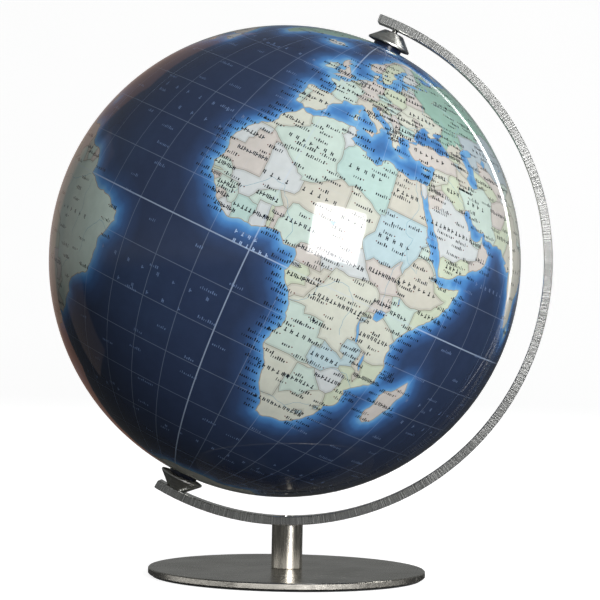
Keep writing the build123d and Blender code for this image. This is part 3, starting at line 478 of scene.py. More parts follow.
# Strokes that stand for letters: parts of a letter's cell, as left, right, bottom and top.
STROKES = (
    ((0, 0.34, 0, 1), (0.34, 0.6, 0.4, 0.64), (0.6, 0.94, 0, 0.8)),
    ((0, 0.36, 0, 1), (0.36, 0.95, 0.36, 0.64)),
    ((0, 0.9, 0, 0.26), (0.3, 0.66, 0.26, 1)),
    ((0, 0.34, 0, 0.8), (0.34, 0.95, 0.2, 0.44)),
    ((0, 0.36, 0.2, 1), (0.56, 0.92, 0, 1)),
)


def srgb(code, shade=1.0):
    """A linear colour from an sRGB hex code."""
    values = [int(code[i : i + 2], 16) / 255 * shade for i in (0, 2, 4)]
    return tuple(v / 12.92 if v < 0.04045 else ((v + 0.055) / 1.055) ** 2.4 for v in values)


INK = {
    "name": srgb("1d232c") + (1,),
    "city": srgb("1f242c") + (1,),
    "dot": srgb("6a3a38") + (1,),
    "pale": srgb("62779c") + (1,),
    "very_pale": srgb("9cb4d6") + (1,),
    "border": srgb("8d8a80") + (1,),
    "river": srgb("86a8b6") + (1,),
    "coast": srgb("a59a86") + (1,),
}
INNER_GREY = (0.6, 0.6, 0.58, 1)


def bulges(ring):
    """True for a ring that turns left at each of its corners, so that it doesn't cross itself."""
    for a, b, c in zip(ring, ring[1:] + ring[:1], ring[2:] + ring[:2]):
        if (b[0] - a[0]) * (c[1] - b[1]) - (b[1] - a[1]) * (c[0] - b[0]) < 1e-7:
            return False
    return True


class Sheet:
    """The flat map, in degrees, cut into triangles along everything that is printed on it."""

    def __init__(self):
        self.points = []
        self.faces = []
        self.kinds = []

    def add(self, ring, kind):
        """An area of one kind."""
        first = len(self.points)
        self.points += [Vector(p) for p in ring]
        self.faces.append(list(range(first, first + len(ring))))
        self.kinds.append(kind)

    def ribbon(self, line, left, right, kind, closed=False):
        """A line of some width, as one area for each stretch. left and right are the reach to each side."""
        count = len(line)
        sides = []
        for i, p in enumerate(line):
            before = line[i - 1] if i or closed else p
            after = line[(i + 1) % count] if i + 1 < count or closed else p
            shrink = max(0.08, math.cos(p[1] * DEGREE))
            way = Vector(((after[0] - before[0]) * shrink, after[1] - before[1]))
            if way.length < 1e-6:
                way = Vector((1, 0))
            way.normalize()
            along = (right + left) / 2 * (0 if closed else (i == 0) * -1 + (i == count - 1))
            base = Vector((p[0] + way.x * along / shrink, p[1] + way.y * along))
            ends = []
            for reach in (left, -right):
                lon = base.x - way.y * reach / shrink
                lat = base.y + way.x * reach
                ends.append((max(-LON_LIMIT, min(LON_LIMIT, lon)), max(-LAT_LIMIT, min(LAT_LIMIT, lat))))
            sides.append(ends)
        for i in range(count if closed else count - 1):
            j = (i + 1) % count
            if on_edge(line[i], line[j]):
                continue
            ring = [sides[i][0], sides[i][1], sides[j][1], sides[j][0]]
            if bulges(ring):
                self.add(ring, kind)
            elif len(line) > 2:
                self.ribbon([line[i], line[j]], left, right, kind)

    def strokes(self, lon, lat, letters, height, advance, kind, rng, small=False):
        """A row of strokes along a parallel, in place of a name."""
        shrink = math.cos(lat * DEGREE)
        start = -letters * advance / 2
        width = height * 0.68
        for i in range(letters):
            if small:
                bars = ((0.1, rng.choice((0.4, 0.62)), 0, rng.choice((0.62, 0.62, 1))),)
            else:
                bars = rng.choice(STROKES)
            for x0, x1, y0, y1 in bars:
                left = lon + (start + i * advance + x0 * width) / shrink
                right = lon + (start + i * advance + x1 * width) / shrink
                if -179.5 < left and right < 179.5:
                    low, high = lat + (y0 - 0.5) * height, lat + (y1 - 0.5) * height
                    self.add([(left, low), (right, low), (right, high), (left, high)], kind)

    def dot(self, lon, lat, size, kind):
        """A town's round mark."""
        shrink = math.cos(lat * DEGREE)
        turns = [i * math.tau / 8 for i in range(8)]
        self.add([(lon + size * math.cos(t) / shrink, lat + size * math.sin(t)) for t in turns], kind)


def evenly(p, q, step):
    """The points of a straight stretch from p up to q, without q."""
    parts = 1 + int(arc_gap(p, q) / step)
    return [(p[0] + (q[0] - p[0]) * k / parts, p[1] + (q[1] - p[1]) * k / parts) for k in range(parts)]


def turning(ring):
    """Twice the signed area of a ring: above zero where it runs anticlockwise."""
    return sum(p[0] * q[1] - q[0] * p[1] for p, q in zip(ring, ring[1:] + ring[:1]))


def natural_ring(text, rng, reach):
    """An outline with a natural edge, anticlockwise."""
    corners = pairs(text)
    if turning(corners) < 0:
        corners.reverse()
    ring = []
    for p, q in zip(corners, corners[1:] + corners[:1]):
        ring += wander(p, q, rng, reach, 1.1)
    return ring


def natural_lines(text, rng, reach, step):
    """The lines of a table. A stretch along a meridian or a parallel is straight."""
    for row in text.split("/"):
        corners = pairs(row)
        line = []
        for p, q in zip(corners, corners[1:]):
            straight = p[0] == q[0] or p[1] == q[1]
            line += evenly(p, q, 2) if straight else wander(p, q, rng, reach, step)
        yield line + corners[-1:]


def groups_of(text, size):
    """The words of a table in groups."""
    words = text.split()
    return [words[i : i + size] for i in range(0, len(words), size)]


def coast_tree(rings):
    """The coast's points on a ball of radius 1, to measure how far a point of the sheet is from it."""
    spots = []
    for ring in rings:
        for p, q in zip(ring, ring[1:] + ring[:1]):
            if not on_edge(p, q):
                spots += evenly(p, q, 0.6)
    tree = KDTree(len(spots))
    for i, (lon, lat) in enumerate(spots):
        tree.insert(on_ball(lon, lat, 1) - CENTRE, i)
    tree.balance()
    return tree


def grid_points(tree):
    """Free points of the sheet: close together near a coast, where the sea's colour changes."""
    spots = []
    rows = int(2 * RIM_LAT / FINE_STEP)
    for row in range(1, rows):
        lat = -RIM_LAT + 2 * RIM_LAT * row / rows
        columns = 2 * max(48, round(180 * math.cos(lat * DEGREE) / FINE_STEP))
        for column in range(1, columns):
            lon = -180 + 360 * (column + 0.5 * (row % 2)) / columns
            if lon > 179.2 or lon < -179.2:
                continue
            if (row % 2 or column % 2) and abs(lat) < DENSE_LAT:
                if tree.find(on_ball(lon, lat, 1) - CENTRE)[2] > COAST_REACH * DEGREE:
                    continue
            spots.append(Vector((lon, lat)))
    return spots


def edge_points():
    """Points along the sheet's four sides, the same on both sides of the seam."""
    spots = []
    rows = int(2 * RIM_LAT / FINE_STEP)
    for row in range(rows + 1):
        lat = -RIM_LAT + 2 * RIM_LAT * row / rows
        spots += [Vector((-180, lat)), Vector((180, lat))]
    for column in range(1, RIM_STEPS):
        lon = -180 + 360 * column / RIM_STEPS
        spots += [Vector((lon, -RIM_LAT)), Vector((lon, RIM_LAT))]
    return spots


def draw_sheet(rng):
    """Everything printed on the ball, as areas of the flat map, and the tree of its coast."""
    sheet = Sheet()
    rings = [natural_ring(text, rng, reach=0.13) for text in LAND.values()]
    lakes = [natural_ring(text, rng, reach=0.08) for text in WATER.values()]
    for ring in rings:
        sheet.add(ring, "land")
        sheet.ribbon(ring, COAST_LINE, 0, "coast", closed=True)
    for ring in lakes:
        sheet.add(ring, "water")
        sheet.ribbon(ring, 0, COAST_LINE * 0.7, "coast", closed=True)
    for line in natural_lines(BORDERS, rng, reach=0.06, step=1.6):
        sheet.ribbon(line, BORDER_LINE, BORDER_LINE, "border")
        sheet.ribbon(line, BORDER_BAND, BORDER_BAND, "band")
    for line in natural_lines(RIVERS, rng, reach=0.14, step=1.3):
        sheet.ribbon(line, RIVER_LINE, RIVER_LINE, "river")
    taken = []
    for lon, lat, _, letters, spread in groups_of(COUNTRIES, 5):
        lon, lat, letters, spread = float(lon), float(lat), int(letters), float(spread)
        size = 1.0 if spread >= 0.8 else 0.8
        advance = max(0.78 * size, 0.78 * spread)
        sheet.strokes(lon, lat, letters, size, advance, "name", rng)
        taken.append((lon, lat, letters * advance / 2 + 0.5))
    for lon, lat, letters, spread, tone in groups_of(SEA_NAMES, 5):
        kind = "pale" if tone == "1" else "very_pale"
        sheet.strokes(float(lon), float(lat), int(letters), 0.9, float(spread), kind, rng)
    scatter_towns(sheet, rings, taken, rng)
    return sheet, coast_tree(rings + lakes)


def inside(ring, lon, lat):
    """True where a point lies in a ring."""
    found = False
    for p, q in zip(ring, ring[1:] + ring[:1]):
        if (p[1] > lat) != (q[1] > lat) and lon < p[0] + (q[0] - p[0]) * (lat - p[1]) / (q[1] - p[1]):
            found = not found
    return found


def scatter_towns(sheet, rings, taken, rng):
    """Small marks with small rows of strokes, spread over the land clear of the countries' names."""
    boxes = []
    for ring in rings:
        lons, lats = [p[0] for p in ring], [p[1] for p in ring]
        boxes.append((min(lons), max(lons), min(lats), max(lats)))
    towns = []
    for _ in range(TOWN_TRIES):
        lon, lat = rng.uniform(-178, 176), math.asin(rng.uniform(-0.94, 0.93)) / DEGREE
        shrink = math.cos(lat * DEGREE)
        letters = rng.randint(4, 9)
        crowded = -18 < lon < 62 and lat > -36
        wide, tall = (3.9, 0.95) if crowded and lat > 34 else (4.7, 1.3) if crowded else (8, 2.4)
        if any(abs(lon - t[0]) * shrink < wide and abs(lat - t[1]) < tall for t in towns):
            continue
        if any(abs(lon - n[0]) * shrink < n[2] + 2.2 and abs(lat - n[1]) < 1.0 for n in taken):
            continue
        near = [r for b, r in zip(boxes, rings) if b[0] < lon < b[1] and b[2] < lat < b[3]]
        if not any(inside(r, lon, lat) for r in near):
            continue
        towns.append((lon, lat))
        sheet.dot(lon, lat, 0.17, "dot")
        side = rng.choice((-1, 1))
        lon += side * (0.35 + letters * NAME_ADVANCE / 2) / shrink
        sheet.strokes(lon, lat, letters, NAME_HEIGHT, NAME_ADVANCE, "city", rng, small=True)
    for ring in rings[:2]:
        ports(sheet, ring, rings, rng)
    seen = []
    for _ in range(SEA_NAME_TRIES):
        lon, lat = rng.uniform(-172, 172), math.asin(rng.uniform(-0.9, 0.9)) / DEGREE
        if any(abs(lon - t[0]) < 9 and abs(lat - t[1]) < 3.4 for t in seen):
            continue
        if any(inside(r, lon + k, lat) for k in (-9, -4, 0, 4, 9) for r in rings):
            continue
        seen.append((lon, lat))
        sheet.strokes(lon, lat, rng.randint(4, 9), 0.7, 0.5, "pale", rng, small=True)


def ports(sheet, ring, rings, rng):
    """Rows of strokes that run out over the sea from the coast, as the names of ports do."""
    taken = []
    for i in range(1, len(ring) - 1):
        before, here, after = ring[i - 1], ring[i], ring[i + 1]
        if not (-19 < here[0] < 62 and -36 < here[1] < 60):
            continue
        way = Vector((after[0] - before[0], after[1] - before[1]))
        if way.length < 0.3 or abs(way.y) < 0.45 * way.length:
            continue
        if any(abs(here[1] - p[1]) < 1.5 and abs(here[0] - p[0]) < 7 for p in taken):
            continue
        letters = rng.randint(5, 9)
        shift = math.copysign(0.5 + letters * NAME_ADVANCE / 2, way.y) / math.cos(here[1] * DEGREE)
        if any(inside(r, here[0] + shift * k, here[1]) for k in (0.6, 2.4, 3.6) for r in rings):
            continue
        taken.append(here)
        lon, lat = here[0] + shift, here[1]
        sheet.strokes(lon, lat, letters, NAME_HEIGHT, NAME_ADVANCE, "city", rng, small=True)


def fill_countries(triangles, land, walls, middles):
    """The tint of each land triangle: each country's spreads from its name up to its borders."""
    shared = {}
    for t, triangle in enumerate(triangles):
        if land[t] and not walls[t]:
            for a, b in zip(triangle, triangle[1:] + triangle[:1]):
                shared.setdefault((min(a, b), max(a, b)), []).append(t)
    beside = {}
    for both in shared.values():
        if len(both) == 2:
            beside.setdefault(both[0], []).append(both[1])
            beside.setdefault(both[1], []).append(both[0])
    tree = KDTree(len(middles))
    for t, (lon, lat) in enumerate(middles):
        if land[t] and not walls[t]:
            tree.insert((lon, lat, 0), t)
    tree.balance()
    tint_of = {}
    starts = groups_of(COUNTRIES, 5)
    queue = deque((tree.find((float(lon), float(lat), 0))[1], tint) for lon, lat, tint, _, _ in starts)
    loose = [t for t in range(len(triangles)) if land[t] and not walls[t]]
    while queue:
        while queue:
            t, tint = queue.popleft()
            if t not in tint_of:
                tint_of[t] = tint
                queue.extend((n, tint) for n in beside.get(t, []) if n not in tint_of)
        loose = [t for t in loose if t not in tint_of]
        if loose:
            queue.append((loose[0], SPARE_TINTS[len(loose) % len(SPARE_TINTS)]))
    for t in range(len(triangles)):
        if walls[t] and land[t]:
            tint_of[t] = tint_of.get(tree.find((middles[t][0], middles[t][1], 0))[1], "w")
    return tint_of


def print_colour(kinds, tint):
    """The colour of one triangle of the sheet. Its last number is 0 where the sea shows."""
    on_land = "land" in kinds and "water" not in kinds
    for kind in ("dot", "name", "city", "very_pale"):
        if kind in kinds:
            return INK[kind]
    if not on_land:
        return INK["pale"] if "pale" in kinds else (0.0, 0.0, 0.0, 0.0)
    for kind in ("border", "river", "coast"):
        if kind in kinds:
            return INK[kind]
    return srgb(TINTS[tint], BAND_SHADE if "band" in kinds else LAND_SHADE) + (1,)


def put(name, data):
    """A new object in the scene."""
    thing = bpy.data.objects.new(name, data)
    bpy.context.scene.collection.objects.link(thing)
    return thing


def make_map():
    """The printed skin of the ball: one closed sheet of the skin's thickness, cut along the print."""
    sheet, tree = draw_sheet(random.Random(MAP_SEED))
    points = sheet.points + edge_points() + grid_points(tree)
    spots, _, faces, _, _, sources = delaunay_2d_cdt(points, [], sheet.faces, 0, 1e-5)
    kinds = [{sheet.kinds[s] for s in source} for source in sources]
    land = ["land" in k and "water" not in k for k in kinds]
    walls = ["border" in k for k in kinds]
    triangles = [tuple(f) for f in faces]
    middles = [sum((spots[v] for v in f), Vector((0, 0))) / len(f) for f in triangles]
    tint_of = fill_countries(triangles, land, walls, middles)

    # Both sides of the seam at 180 degrees use the same points.
    left = {round(p.y, 3): i for i, p in enumerate(spots) if abs(p.x + 180) < 1e-4}
    same = {i: left.get(round(p.y, 3), i) for i, p in enumerate(spots) if abs(p.x - 180) < 1e-4}
    places = [on_ball(p.x, p.y, BALL_R) for p in spots]
    outer = [[same.get(v, v) for v in f] for f in triangles]
    shade = [print_colour(k, tint_of.get(t, "w")) for t, k in enumerate(kinds)]
    keep = [t for t, f in enumerate(outer) if len(set(f)) == len(f)]
    outer, shade = [outer[t] for t in keep], [shade[t] for t in keep]

    # The inner side, and the walls of the two pole holes.
    first = len(places)
    for row in range(INNER_ROWS + 1):
        lat = -RIM_LAT + 2 * RIM_LAT * row / INNER_ROWS
        places += [on_ball(-180 + 360 * c / RIM_STEPS, lat, SKIN_INNER_R) for c in range(RIM_STEPS)]
    inner = []
    for row in range(INNER_ROWS):
        for c in range(RIM_STEPS):
            a, b = first + row * RIM_STEPS + c, first + row * RIM_STEPS + (c + 1) % RIM_STEPS
            inner.append([a, a + RIM_STEPS, b + RIM_STEPS, b])
    for lat, row, flip in ((-RIM_LAT, 0, False), (RIM_LAT, INNER_ROWS, True)):
        rim = {round((p.x + 180) * RIM_STEPS / 360) % RIM_STEPS: same.get(i, i)
               for i, p in enumerate(spots) if abs(p.y - lat) < 1e-4}
        for c in range(RIM_STEPS):
            d = (c + 1) % RIM_STEPS
            wall = [rim[c], first + row * RIM_STEPS + c, first + row * RIM_STEPS + d, rim[d]]
            inner.append(wall[::-1] if flip else wall)

    faces = outer + inner
    used = sorted({v for f in faces for v in f})
    number = {v: i for i, v in enumerate(used)}
    outward = [(places[v] - CENTRE).normalized() for v in used]
    mesh = bpy.data.meshes.new("printed_map")
    mesh.from_pydata([places[v] for v in used], [], [[number[v] for v in f] for f in faces])
    colours = mesh.color_attributes.new("print", "FLOAT_COLOR", "CORNER")
    flat = [value for f, s in zip(outer, shade) for _ in f for value in s]
    flat += [value for f in inner for _ in f for value in INNER_GREY]
    colours.data.foreach_set("color", flat)
    coast = mesh.attributes.new("coast", "FLOAT", "POINT")
    coast.data.foreach_set("value", [tree.find(way)[2] / DEGREE for way in outward])
    mesh.polygons.foreach_set("use_smooth", [True] * len(faces))
    normals = [way * (1 if v < first else -1) for v, way in zip(used, outward)]
    mesh.normals_split_custom_set_from_vertices(normals)
    return put("printed_map", mesh)


# ---------------------------------------------------------------- materials
def fill_ramp(ramp, stops):
    """Sets a colour ramp's stops, each a position and a colour."""
    while len(ramp.elements) < len(stops):
        ramp.elements.new(0.5)
    for element, (position, colour) in zip(ramp.elements, stops):
        element.position = position
        element.color = tuple(colour) + (1,)


class Look:
    """A node material, with short ways to add and join its nodes."""

    def __init__(self, name, **sockets):
        self.material = bpy.data.materials.new(name)
        self.material.use_nodes = True
        self.nodes = self.material.node_tree.nodes
        self.links = self.material.node_tree.links
        self.shader = self.nodes["Principled BSDF"]
        for socket, value in sockets.items():
            self.shader.inputs[socket.replace("_", " ")].default_value = value

    def add(self, kind, **settings):
        """A new node."""
        node = self.nodes.new(kind)
        for key, value in settings.items():
            setattr(node, key, value)
        return node

    def join(self, output, target):
        """Links an output to a socket, or to the shader's socket of that name."""
        if isinstance(target, str):
            target = self.shader.inputs[target]
        self.links.new(output, target)

    def sum(self, operation, *values):
        """A Math node's result. Each value is a number or another node's output."""
        node = self.add("ShaderNodeMath", operation=operation)
        self.feed(node.inputs, values)
        return node.outputs[0]

    def feed(self, sockets, values):
        """Gives each socket a number, a colour or another node's output."""
        for socket, value in zip(sockets, values):
            if isinstance(value, bpy.types.NodeSocket):
                self.links.new(value, socket)
            else:
                socket.default_value = value

    def dot(self, vector, constant):
        """How far a vector reaches along a constant one."""
        node = self.add("ShaderNodeVectorMath", operation="DOT_PRODUCT")
        self.feed(node.inputs, (vector, tuple(constant)))
        return node.outputs["Value"]

    def place(self, stretch, shift=(0, 0, 0)):
        """The point of the object, in metres, moved and then stretched."""
        spot = self.add("ShaderNodeTexCoord").outputs["Object"]
        moved = self.add("ShaderNodeVectorMath", operation="SUBTRACT")
        self.feed(moved.inputs, (spot, tuple(shift)))
        node = self.add("ShaderNodeVectorMath", operation="MULTIPLY")
        self.feed(node.inputs, (moved.outputs[0], tuple(stretch)))
        return node.outputs[0]

    def noise(self, where, detail, roughness):
        """A cloud of values about 0.5."""
        node = self.add("ShaderNodeTexNoise")
        node.inputs["Scale"].default_value = 1
        node.inputs["Detail"].default_value = detail
        node.inputs["Roughness"].default_value = roughness
        self.join(where, node.inputs["Vector"])
        return node.outputs[0]

    def between(self, value, low, high, new_low, new_high, kind="LINEAR"):
        """A value moved from one range to another and kept inside it."""
        node = self.add("ShaderNodeMapRange", interpolation_type=kind)
        self.feed(node.inputs, (value, low, high, new_low, new_high))
        return node.outputs[0]

    def ramp(self, value, *stops):
        """A colour from a value. Each stop is a position and a colour."""
        node = self.add("ShaderNodeValToRGB")
        fill_ramp(node.color_ramp, stops)
        self.join(value, node.inputs[0])
        return node.outputs[0]

    def mix(self, factor, a, b, blend="MIX"):
        """Two colours in one."""
        node = self.add("ShaderNodeMix", data_type="RGBA", blend_type=blend)
        self.feed((node.inputs[0], node.inputs[6], node.inputs[7]), (factor, a, b))
        return node.outputs[2]

    def bump(self, height, distance, strength):
        """Fine relief, distance metres deep."""
        node = self.add("ShaderNodeBump")
        node.inputs["Strength"].default_value = strength
        node.inputs["Distance"].default_value = distance
        self.join(height, node.inputs["Height"])
        self.join(node.outputs[0], "Normal")


def map_look():
    """The lacquered print: deep sea that glows along the coasts, printed land, and a net of fine lines."""
    look = Look("map_print", IOR=1.5)
    spot = look.place((1, 1, 1), CENTRE)
    up = look.sum("DIVIDE", look.dot(spot, NORTH), BALL_R)
    lat = look.sum("MULTIPLY", look.sum("ARCSINE", up), 18 / math.pi)
    turn = look.sum("ARCTAN2", look.dot(spot, BEHIND), look.dot(spot, ACROSS))
    lon = look.sum("SUBTRACT", look.sum("MULTIPLY", turn, 18 / math.pi), MERIDIAN_TURN / 10)
    shrink = look.sum("SQRT", look.sum("SUBTRACT", 1.0001, look.sum("MULTIPLY", up, up)))
    off_lat = look.sum("PINGPONG", lat, 0.5)
    off_lon = look.sum("MULTIPLY", look.sum("PINGPONG", lon, 0.5), shrink)
    off_equator = look.sum("ABSOLUTE", lat)
    off_lon = look.sum("ADD", off_lon, look.between(off_equator, 7.95, 8.05, 0, 1))
    off_prime = look.sum("MULTIPLY", look.sum("ABSOLUTE", lon), shrink)
    net = look.between(look.sum("MINIMUM", off_lat, off_lon), 0.003, 0.012, 1, 0, "SMOOTHSTEP")
    main = look.between(look.sum("MINIMUM", off_equator, off_prime), 0.009, 0.02, 1, 0, "SMOOTHSTEP")

    cloud = look.noise(look.place((22, 22, 22), CENTRE), 4, 0.6)
    coast = look.add("ShaderNodeAttribute", attribute_name="coast").outputs["Fac"]
    away = look.sum("ADD", coast, look.between(cloud, 0.3, 0.7, -0.7, 0.7))
    glow = look.between(away, 0, 8, 0, 1)
    sea = look.ramp(glow, (0.0, srgb("74abd6")), (0.14, srgb("4d86c4")), (0.34, srgb("3a5c8e")),
                    (0.6, srgb("33466a")), (1.0, srgb("2e3b57")))
    deep = look.noise(look.place((9, 9, 9), CENTRE), 5, 0.65)
    sea = look.mix(look.between(deep, 0.48, 0.72, 0, 0.3), sea, srgb("3f5679") + (1,))
    printed = look.add("ShaderNodeAttribute", attribute_name="print")
    base = look.mix(printed.outputs["Alpha"], sea, printed.outputs["Color"])
    relief = look.noise(look.place((160, 160, 160), CENTRE), 3, 0.6)
    shading = look.ramp(relief, (0.3, (0.8, 0.8, 0.8)), (0.7, (0.89, 0.89, 0.89)))
    base = look.mix(1.0, base, shading, "MULTIPLY")
    lines = look.sum("MAXIMUM", look.sum("MULTIPLY", net, 0.22), look.sum("MULTIPLY", main, 0.55))
    share = look.between(printed.outputs["Alpha"], 0, 1, 1, 0.45)
    base = look.mix(look.sum("MULTIPLY", lines, share), base, srgb("a9bad2") + (1,))
    look.join(base, "Base Color")
    look.join(look.between(cloud, 0.3, 0.7, 0.04, 0.07), "Roughness")
    look.bump(look.noise(look.place((400, 400, 400), CENTRE), 1, 0.5), 0.00002, 0.25)
    return look.material


def steel_look(name, colour, roughness, stretch, turned_round=None, depth=0.28, shift=(0, 0, 0)):
    """Brushed steel. stretch sets the grain: large numbers across it and small ones along it. turned_round
    gives two directions at right angles to an axis, about which the grain runs in rings or, with "rays",
    away from it. depth is how dark the grain is."""
    look = Look(name, Metallic=1.0)
    if turned_round is None:
        where = look.place(stretch, shift)
    else:
        spot = look.place((1, 1, 1), shift)
        parts = [look.dot(spot, axis) for axis in turned_round[1:]]
        squares = [look.sum("POWER", part, 2.0) for part in parts]
        reach = look.sum("SQRT", look.sum("ADD", *squares))
        angle = look.sum("ARCTAN2", parts[1], parts[0])
        node = look.add("ShaderNodeCombineXYZ")
        outwards, around = stretch if turned_round[0] == "rings" else stretch[::-1]
        parts = (look.sum("MULTIPLY", reach, outwards), look.sum("MULTIPLY", angle, around))
        look.feed(node.inputs, parts)
        where = node.outputs[0]
    grain = look.noise(where, 3, 0.7)
    patch = look.noise(look.place((45, 45, 45)), 3, 0.5)
    tone = look.ramp(grain, (0.3, [c * (1 - depth) for c in srgb(colour)]), (0.5, srgb(colour)),
                     (0.7, [min(1, c * 1.3) for c in srgb(colour)]))
    darker = tuple(c * 0.7 for c in srgb(colour)) + (1,)
    tone = look.mix(look.between(patch, 0.4, 0.7, 0, 0.35), tone, darker)
    look.join(tone, "Base Color")
    rough = look.sum("ADD", look.between(grain, 0.3, 0.7, roughness - 0.05, roughness + 0.06),
                     look.between(patch, 0.3, 0.7, -0.03, 0.03))
    look.join(rough, "Roughness")
    look.bump(grain, 0.00003, 0.35)
    return look.material


def plastic_look(name, colour, roughness, grain_scale, sheen=0.0):
    """Moulded plastic, or with sheen a felt."""
    look = Look(name, IOR=1.46)
    if sheen:
        look.shader.inputs["Sheen Weight"].default_value = sheen
    grain = look.noise(look.place((grain_scale,) * 3), 4, 0.7)
    tone = look.ramp(grain, (0.3, srgb(colour, 0.85)), (0.7, srgb(colour)))
    look.join(tone, "Base Color")
    look.join(look.between(grain, 0.3, 0.7, roughness, min(1, roughness + 0.08)), "Roughness")
    look.bump(grain, 0.0002 if sheen else 0.00004, 0.5)
    return look.material


def dress():
    """Gives each CAD node its material."""
    rays = ("rays", Vector((1, 0, 0)), Vector((0, 0, 1)))
    rings = ("rings", ACROSS, BEHIND)
    looks = {
        "base_plate": steel_look("plate_steel", "b4b0a8", 0.24, (14, 900, 900)),
        "post": steel_look("post_steel", "c2bdb3", 0.26, (900, 900, 25)),
        "meridian_arm": steel_look("arm_steel", "dcdcda", 0.24, (190, 14), rays, 0.6, CENTRE),
        "cone": steel_look("cone_steel", "c4c4c0", 0.44, (1500, 2), rings, shift=CENTRE),
        "screw": steel_look("screw_steel", "a8a6a2", 0.3, (600, 600, 600)),
        "base_felt": plastic_look("felt", "2c2d2f", 0.9, 1800, 0.4),
        "washer": plastic_look("nylon", "d9d6cc", 0.45, 300),
        "bush": plastic_look("bush_plastic", "1f2a44", 0.16, 300),
        "shell": plastic_look("shell_plastic", "d8d8d4", 0.4, 200),
    }
    words = {"spacer_cone": "cone", "screw": "screw", "washer": "washer", "bush": "bush",
             "hemisphere": "shell", "joint_ring": "shell", "map_skin": "shell"}
    for name, node in frame["nodes"].items():
        key = name if name in looks else next(k for word, k in words.items() if word in name)
        for slot in node.material_slots:
            slot.material = looks[key]


# ---------------------------------------------------------------- stage, lights and camera
# The camera stands 1.21 m from the ball's middle, a little to the right and a little below it.
EYE = CENTRE + Vector((0.1240, -1.2075, -0.0335))
LOOK_YAW = -5.467  # degrees to the right of +Y
LOOK_PITCH = 0.623  # degrees upwards
ROLL = 1.094
FOCAL_MM = 136.85
WHITE = (1, 1, 1)


def camera_axes():
    """The camera's right, up and forward directions."""
    yaw, pitch, roll = LOOK_YAW * DEGREE, LOOK_PITCH * DEGREE, ROLL * DEGREE
    ahead = Vector((math.sin(yaw) * math.cos(pitch), math.cos(yaw) * math.cos(pitch), math.sin(pitch)))
    right = ahead.cross(Vector((0, 0, 1))).normalized()
    up = right.cross(ahead)
    rolled_right = right * math.cos(roll) + up * math.sin(roll)
    rolled_up = up * math.cos(roll) - right * math.sin(roll)
    return rolled_right, rolled_up, ahead


def make_camera():
    """A long lens from the front."""
    right, up, ahead = camera_axes()
    data = bpy.data.cameras.new("camera")
    data.lens = FOCAL_MM
    data.sensor_width = 36
    data.clip_start = 0.01
    camera = put("camera", data)
    turn = Matrix((right, up, -ahead)).transposed()
    camera.matrix_world = Matrix.Translation(EYE) @ turn.to_4x4()
    bpy.context.scene.camera = camera


def area_light(name, direction, distance, size, radiance, colour=WHITE, turned=0.0, shiny=True, only=()):
    """A soft rectangle of light that faces the ball. direction is right, up and towards the camera,
    distance and size are in metres, and turned is in degrees. A light that isn't shiny makes no highlight,
    and only lists the objects that it lights, if not all."""
    right, up, ahead = camera_axes()
    way = (right * direction[0] + up * direction[1] - ahead * direction[2]).normalized()
    data = bpy.data.lights.new(name, "AREA")
    data.shape = "RECTANGLE"
    data.size, data.size_y = size
    data.energy = radiance * math.pi * size[0] * size[1]
    data.color = colour
    light = put(name, data)
    facing = way.to_track_quat("Z", "Y").to_matrix() @ Matrix.Rotation(turned * DEGREE, 3, "Z")
    light.matrix_world = Matrix.Translation(CENTRE + way * distance) @ facing.to_4x4()
    light.visible_camera = False
    light.visible_glossy = shiny
    if only:
        lit = bpy.data.collections.new(name + "_on")
        for thing in only:
            lit.objects.link(thing)
        light.light_linking.receiver_collection = lit


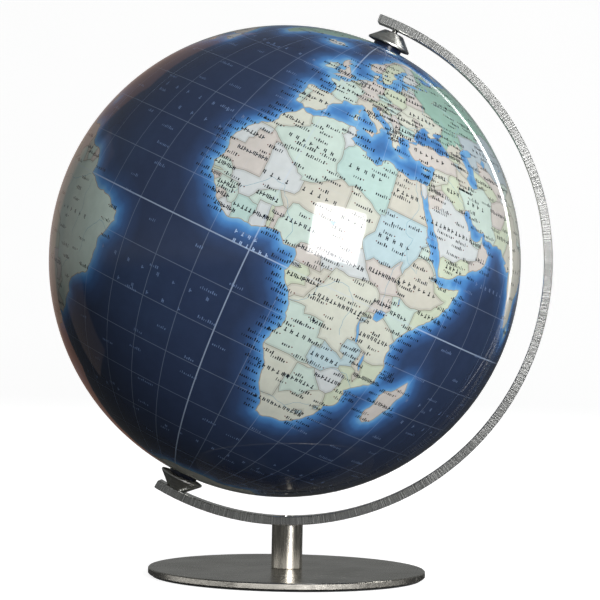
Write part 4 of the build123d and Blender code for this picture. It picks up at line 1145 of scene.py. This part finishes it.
def make_stage():
    """A pale floor that sweeps up behind into a pale wall, and a dim room."""
    bend, back, depth, half, top = 1.2, 3.2, 5.0, 9.0, 6.0
    profile = [(-depth, 0.0), (back - bend, 0.0)]
    profile += [(back - bend + bend * math.sin(i * math.pi / 32), bend - bend * math.cos(i * math.pi / 32))
                for i in range(1, 17)]
    profile.append((back, top))
    corners = [(x, y, z - 0.0002) for y, z in profile for x in (-half, half)]
    faces = [(2 * i, 2 * i + 1, 2 * i + 3, 2 * i + 2) for i in range(len(profile) - 1)]
    mesh = bpy.data.meshes.new("studio_floor")
    mesh.from_pydata(corners, [], faces)
    mesh.polygons.foreach_set("use_smooth", [True] * len(faces))
    floor = put("studio_floor", mesh)
    look = Look("studio_floor", Roughness=0.9, Emission_Strength=0.88)
    look.shader.inputs["Specular IOR Level"].default_value = 0
    look.shader.inputs["Emission Color"].default_value = WHITE + (1,)
    tone = look.noise(look.place((3, 3, 3)), 2, 0.5)
    look.join(look.ramp(tone, (0.3, (0.4, 0.4, 0.4)), (0.7, (0.43, 0.43, 0.43))), "Base Color")
    mesh.materials.append(look.material)
    floor.visible_glossy = False
    floor.visible_diffuse = False
    floor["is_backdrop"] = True

    world = bpy.data.worlds.new("studio")
    world.use_nodes = True
    nodes, links = world.node_tree.nodes, world.node_tree.links
    parts = nodes.new("ShaderNodeSeparateXYZ")
    links.new(nodes.new("ShaderNodeTexCoord").outputs["Generated"], parts.inputs[0])
    height = nodes.new("ShaderNodeMapRange")
    height.inputs[1].default_value = -1
    links.new(parts.outputs["Z"], height.inputs[0])
    room = nodes.new("ShaderNodeValToRGB")
    greys = ((0, 0.03), (0.46, 0.05), (0.52, 0.26), (0.66, 0.15), (1, 0.14))
    fill_ramp(room.color_ramp, [(position, (grey * 0.97, grey, grey * 0.99)) for position, grey in greys])
    links.new(height.outputs[0], room.inputs[0])
    links.new(room.outputs[0], nodes["Background"].inputs[0])
    bpy.context.scene.world = world
    bpy.context.scene.view_settings.view_transform = "Standard"


def light_up(globe):
    """The soft studio lights."""
    node = frame["nodes"]
    turned_parts = (node["post"], node["north_spacer_cone"], node["south_spacer_cone"])
    plate = (node["base_plate"],)
    area_light("key_softbox", (0.399, 0.197, 0.896), 1.3, (0.54, 0.54), 16.0, turned=-14)
    area_light("right_strip", (0.711, 0.1, -0.696), 1.3, (0.005, 1.7), 3.6)
    area_light("left_card", (-0.86, 0.05, -0.5), 1.4, (0.5, 1.5), 0.1, (1.0, 0.75, 0.6), only=(globe,))
    area_light("rim_card", (-0.38, 0.2, -0.93), 1.6, (0.8, 1.7), 0.17, (1.0, 0.46, 0.28), only=(globe,))
    area_light("top_fill", (0.25, 0.85, 0.6), 1.6, (1.4, 1.0), 1.4, shiny=False)
    area_light("front_fill", (0.5, -0.35, 0.9), 1.5, (1.8, 1.6), 1.1, shiny=False)
    area_light("side_fill", (0.9, 0.2, -0.2), 1.6, (1.4, 1.4), 1.3, shiny=False)
    area_light("back_fill", (0.1, 0.5, -1.0), 1.9, (1.8, 1.4), 1.3, shiny=False)
    area_light("arm_light", (0.75, 0.75, 0.6), 0.7, (0.35, 0.35), 19.0, only=(node["meridian_arm"],))
    area_light("post_light", (0.48, -0.06, 0.87), 1.2, (0.2, 0.9), 6.8, only=turned_parts)
    area_light("plate_light", (0.1, -0.12, 1.0), 1.0, (2.4, 0.3), 2.3, only=plate)
    area_light("plate_left", (-1.0, -0.1, 0.2), 1.0, (1.2, 0.3), 1.4, only=plate)
    area_light("plate_right", (1.0, -0.1, 0.2), 1.0, (1.2, 0.3), 1.4, only=plate)


dress()
printed_map = make_map()
printed_map.data.materials.append(map_look())
make_camera()
make_stage()
light_up(printed_map)
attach(printed_map, "globe")
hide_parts("north_map_skin", "south_map_skin")

boxes = {"cad": cad_box, "visual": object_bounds()}
{name: [list(corner) for corner in box] for name, box in boxes.items()}
